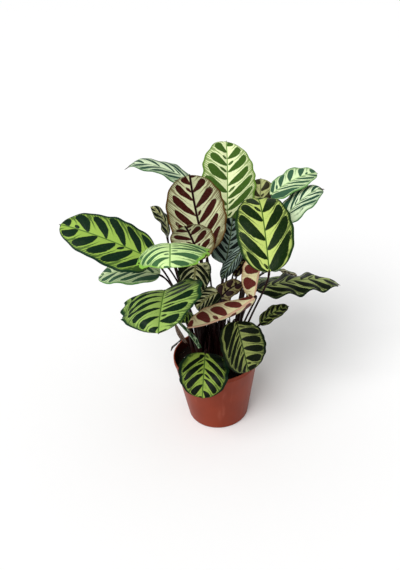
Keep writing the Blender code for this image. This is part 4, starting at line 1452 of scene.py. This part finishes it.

# %% [markdown]
# Terracotta-coloured plastic
#
# The pot is satin polypropylene in a brick red. Its colour is very even, with a faint cloudiness from
# the moulding and dusty marks. The top edge of the rim is paler, as a painted highlight, and the inner
# wall below the rim is darkened as painted shade. Its soft gloss comes from the shader alone.

# %% Finish the pot
BRICK_RED, DARKER_RED, DUST_AND_RIM_HIGHLIGHT, PAINTED_POT_SHADE = (128, 47, 22), (115, 40, 18), (176, 100, 80), (30, 16, 12)
POT_ROUGHNESS, POT_SPECULAR = 0.36, 0.12
CLOUD_SCALE, SPECK_SCALE, SMEAR_SCALE = 22.0, 420.0, (60.0, 60.0, 9.0)
RIM_HIGHLIGHT_EDGE, SHADE_STARTS, SHADE_FULL, SHADE_DRIFT = 2.5 * MM, 1 * MM, 5 * MM, 9 * MM
CLOUD_SHARE, DUST_SHARE, RIM_HIGHLIGHT_SHARE, SHADE_SHARE = 0.7, 0.35, 0.3, 0.85
POT_BUMP, POT_BUMP_HEIGHT = 0.12, 0.3 * MM


def pot_material():
    """Satin brick-red plastic with dusty smears, a painted highlight on the rim and painted shade inside."""
    made, tree, shader = new_material("terracotta plastic", POT_ROUGHNESS, POT_SPECULAR)
    where = add(tree, "ShaderNodeTexCoord", out=3)
    cloud = add(tree, "ShaderNodeTexNoise", where * CLOUD_SCALE, None, 1.0, 3.0)
    speck = add(tree, "ShaderNodeTexNoise", where * SPECK_SCALE, None, 1.0, 2.0)
    smear = add(tree, "ShaderNodeTexNoise", where * SMEAR_SCALE, None, 1.0, 4.0)
    height = where.part(2)
    # Painted highlight: the top of the rim is lightened, as a lit lip looks.
    rim = smooth(height, POT_HEIGHT - RIM_HIGHLIGHT_EDGE, POT_HEIGHT)
    wall = height * ((RIM_RADIUS - RIM_STEP - FOOT_RADIUS) / (POT_HEIGHT - RIM_BAND)) + FOOT_RADIUS
    from_axis = (where * (1.0, 1.0, 0.0)).vector_math("LENGTH", out=1)
    inside = smooth(wall - from_axis, 0.5 * WALL, 0.9 * WALL)
    # Painted shade: the inner wall darkens from just below the rim downwards, with a wavering upper edge.
    level = height + (cloud - 0.5) * SHADE_DRIFT
    painted_shade = smooth(level, POT_HEIGHT - SHADE_STARTS, POT_HEIGHT - SHADE_FULL)
    colour = blend(paint(tree, BRICK_RED), paint(tree, DARKER_RED), smooth(cloud, 0.35, 0.7) * CLOUD_SHARE)
    # Dust smears, and the painted highlight on the rim, share one pale colour.
    colour = blend(colour, paint(tree, DUST_AND_RIM_HIGHLIGHT), smooth(smear, 0.58, 0.85) * DUST_SHARE + rim * RIM_HIGHLIGHT_SHARE)
    # The painted shade inside the pot is laid on last.
    colour = blend(colour, paint(tree, PAINTED_POT_SHADE), inside * painted_shade * SHADE_SHARE)
    plug(tree, shader.inputs["Base Color"], colour)
    plug(tree, shader.inputs["Roughness"], smear * 0.12 + POT_ROUGHNESS)
    emboss(tree, shader, speck + cloud * 2.0, POT_BUMP, POT_BUMP_HEIGHT)
    return made


pot.data.materials.clear()
pot.data.materials.append(pot_material())
print("pot finished")

# %% [markdown]
# Potting mix
#
# The mix fills the pot to a little below its rim. The plug is a solid of rings: its sides follow the
# inside of the pot with a small gap, and its top has the same soft mound and lumps as the plain solid.

# %% Shape the potting mix
SOIL_GAP = 0.3 * MM
SOIL_RINGS, SOIL_SECTORS = 46, 160
SOIL_FOOT = CHANNEL_RISE + WALL + SOIL_GAP
SOIL_SHOULDER, SOIL_FOOT_STEP = 4 * MM, 1.2 * MM
WIDE_LUMPS, FINE_LUMPS, LUMP_SHIFT = (210, 170), (110, 370), 1.3


def soil_radius(z):
    """Inner radius of the pot at this height, less the gap."""
    return wall_radius(z) - WALL - SOIL_GAP


def soil_height(x, y):
    """Height of the mix's top: a slight mound with soft lumps, as on the plain solid."""
    sunk = (x * x + y * y) / soil_radius(SOIL_TOP) ** 2
    lumps = math.sin(WIDE_LUMPS[0] * x + LUMP_SHIFT) * math.cos(WIDE_LUMPS[1] * y)
    lumps += 0.5 * math.sin(FINE_LUMPS[1] * y + FINE_LUMPS[0] * x)
    return SOIL_TOP + (1 - 3 * sunk + lumps) * MM


def soil_mesh():
    """The plug of mix: rings of points on its mounded top, then one ring at its foot."""
    widest = soil_radius(SOIL_TOP - SOIL_SHOULDER)
    points, faces = [(0, 0, soil_height(0, 0))], []
    n = SOIL_SECTORS
    for k in range(1, SOIL_RINGS + 2):
        radius = widest * k / SOIL_RINGS if k <= SOIL_RINGS else soil_radius(SOIL_FOOT) - SOIL_FOOT_STEP
        for i in range(n):
            x, y = radius * math.cos(2 * math.pi * i / n), radius * math.sin(2 * math.pi * i / n)
            points.append((x, y, soil_height(x, y) if k <= SOIL_RINGS else SOIL_FOOT))
    faces += [(0, 1 + i, 1 + (i + 1) % n) for i in range(n)]
    for k in range(SOIL_RINGS):
        a, b = 1 + k * n, 1 + (k + 1) * n
        faces += [(a + i, b + i, b + (i + 1) % n, a + (i + 1) % n) for i in range(n)]
    faces.append(tuple(range(1 + SOIL_RINGS * n + n - 1, SOIL_RINGS * n, -1)))
    mesh = bpy.data.meshes.new("potting_mix")
    mesh.from_pydata(points, [], faces)
    return mesh


SOIL_PLUG = soil_mesh()
print(f"a plug of mix with {len(SOIL_PLUG.polygons)} faces")

# %% [markdown]
# Crumbs of bark and perlite
#
# Peat is crumbly and uneven, with bits of bark and a few white specks of perlite. A noise roughens the
# top of the plug, and the crumbs are scattered on it by Geometry Nodes, because thousands of them repeat.
# Each crumb is a small stone shape of a few faces, turned and stretched by its own chance.

# %% Build the potting mix tree
TOP_STARTS, TOP_SURE = 90 * MM, 98 * MM
CRUMB_FREE_EDGE = 1.5 * MM
LEAST_CRUMB, MOST_CRUMB = (0.5, 0.35, 0.2), (1.6, 1.1, 0.7)
PERLITE_SHARE = 0.006


def soil_tree():
    """Roughens the top of the mix, and scatters crumbs of bark and perlite on it."""
    tree, given, result = new_tree("Potting mix", "GeometryNodeTree", [
        ("Plug", None), ("Roughness", 0.002), ("Crumbs", 60000.0), ("Crumb Size", 0.001), ("Seed", 3),
        ("Peat", ""), ("Crumb", ""), ("Perlite", ""),
    ], [("Geometry", "NodeSocketGeometry")])
    place = add(tree, "GeometryNodeInputPosition")
    flat = place * (1.0, 1.0, 0.0)
    from_axis = flat.vector_math("LENGTH", out=1)
    is_top = smooth(place.part(2), TOP_STARTS, TOP_SURE)
    inside = smooth(from_axis, soil_radius(SOIL_TOP), soil_radius(SOIL_TOP) - SOIL_SHOULDER, 0.25, 1.0)
    coarse = add(tree, "ShaderNodeTexNoise", place * 120.0, None, 1.0, 4.0, 0.65)
    rise = (coarse - 0.52) * given["Roughness"] * 2.0 * is_top * inside
    lumpy = add(tree, "GeometryNodeSetPosition", given["Plug"], None, None, vector(tree, 0.0, 0.0, rise))
    lumpy = add(tree, "GeometryNodeSetShadeSmooth", lumpy, None, True)
    spread = tree.nodes.new("GeometryNodeDistributePointsOnFaces")
    tree.links.new(lumpy.socket, spread.inputs["Mesh"])
    up_facing = add(tree, "GeometryNodeInputNormal").part(2) > 0.5
    inner = from_axis < soil_radius(SOIL_TOP) - CRUMB_FREE_EDGE
    plug(tree, spread.inputs["Selection"], up_facing * inner * is_top)
    plug(tree, spread.inputs["Density"], given["Crumbs"])
    plug(tree, spread.inputs["Seed"], given["Seed"])
    stone = add(tree, "GeometryNodeMeshIcoSphere", 1.0, 1)
    tumble = add(tree, "FunctionNodeRandomValue", (0.0, 0.0, 0.0), (6.3, 6.3, 6.3), data_type="FLOAT_VECTOR")
    stretch = add(tree, "FunctionNodeRandomValue", LEAST_CRUMB, MOST_CRUMB, data_type="FLOAT_VECTOR")
    crumbs = tree.nodes.new("GeometryNodeInstanceOnPoints")
    tree.links.new(spread.outputs["Points"], crumbs.inputs["Points"])
    tree.links.new(stone.socket, crumbs.inputs["Instance"])
    plug(tree, crumbs.inputs["Rotation"], tumble)
    plug(tree, crumbs.inputs["Scale"], stretch * given["Crumb Size"])
    is_perlite = add(tree, "FunctionNodeRandomValue", data_type="BOOLEAN", out=3)
    is_perlite.socket.node.inputs["Probability"].default_value = PERLITE_SHARE
    marked = stored(tree, Wire(tree, crumbs.outputs[0]), "crumb", is_perlite + 1.0, domain="INSTANCE")
    real = add(tree, "GeometryNodeRealizeInstances", joined(tree, marked, lumpy))
    crumb = recalled(tree, "crumb")
    real = add(tree, "GeometryNodeSetMaterial", real, None, given["Peat"])
    real = add(tree, "GeometryNodeSetMaterial", real, crumb > 0.5, given["Crumb"])
    plug(tree, result.inputs[0], add(tree, "GeometryNodeSetMaterial", real, crumb > 1.5, given["Perlite"]))
    return tree


SOIL_TREE = soil_tree()
print(f"the potting mix tree has {len(SOIL_TREE.nodes)} nodes")

# %% [markdown]
# The look of the mix
#
# Peat, bark and perlite are all dull and grainy and differ in colour and in the size of their grain, so
# one function makes the three finishes. Then the tree runs on the plug.

# %% Finish the potting mix
MIX_ROUGHNESS, MIX_SEED = 2.0 * MM, 3
CRUMBS_A_SQUARE_METRE, CRUMB_SIZE = 150000.0, 1.1 * MM
MIX_SPECULAR, GRAIN_BUMP, GRAIN_BUMP_HEIGHT = 0.06, 0.7, 0.8 * MM
FINE_GRAIN, COARSE_GRAIN = 700.0, 500.0


def grainy_material(name, dark, light, scale, roughness):
    """A rough mineral or peaty surface, mottled between two colours."""
    made, tree, shader = new_material(name, roughness, MIX_SPECULAR)
    where = add(tree, "ShaderNodeTexCoord", out=3)
    grain = add(tree, "ShaderNodeTexNoise", where * scale, None, 1.0, 5.0, 0.7)
    mottled = blend(paint(tree, dark), paint(tree, light), smooth(grain, 0.4, 0.7))
    plug(tree, shader.inputs["Base Color"], mottled)
    emboss(tree, shader, grain, GRAIN_BUMP, GRAIN_BUMP_HEIGHT)
    return made


soil = grown("potting_mix", SOIL_TREE, {
    "Roughness": MIX_ROUGHNESS, "Crumbs": CRUMBS_A_SQUARE_METRE, "Crumb Size": CRUMB_SIZE,
    "Seed": MIX_SEED,
    "Peat": grainy_material("peat", (12, 8, 7), (34, 23, 18), FINE_GRAIN, 0.95),
    "Crumb": grainy_material("bark crumbs", (16, 10, 8), (56, 38, 27), COARSE_GRAIN, 0.9),
    "Perlite": grainy_material("perlite", (190, 184, 172), (226, 222, 212), COARSE_GRAIN, 0.85),
}, start=SOIL_PLUG)
dress(soil, "potting_soil", "soil")
print(f"potting mix with {len(soil.data.polygons)} faces")

# %% [markdown]
# Measure the size and finish
#
# The dressed plant has to stay the size of its solids, so both boxes are printed side by side.

# %% Measure and finish
dressed_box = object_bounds()
sizes = {"cad": [list(corner) for corner in solid_box], "visual": [list(corner) for corner in dressed_box]}
for label, (low, high) in sizes.items():
    print(label, [round((b - a) / MM, 1) for a, b in zip(low, high)])
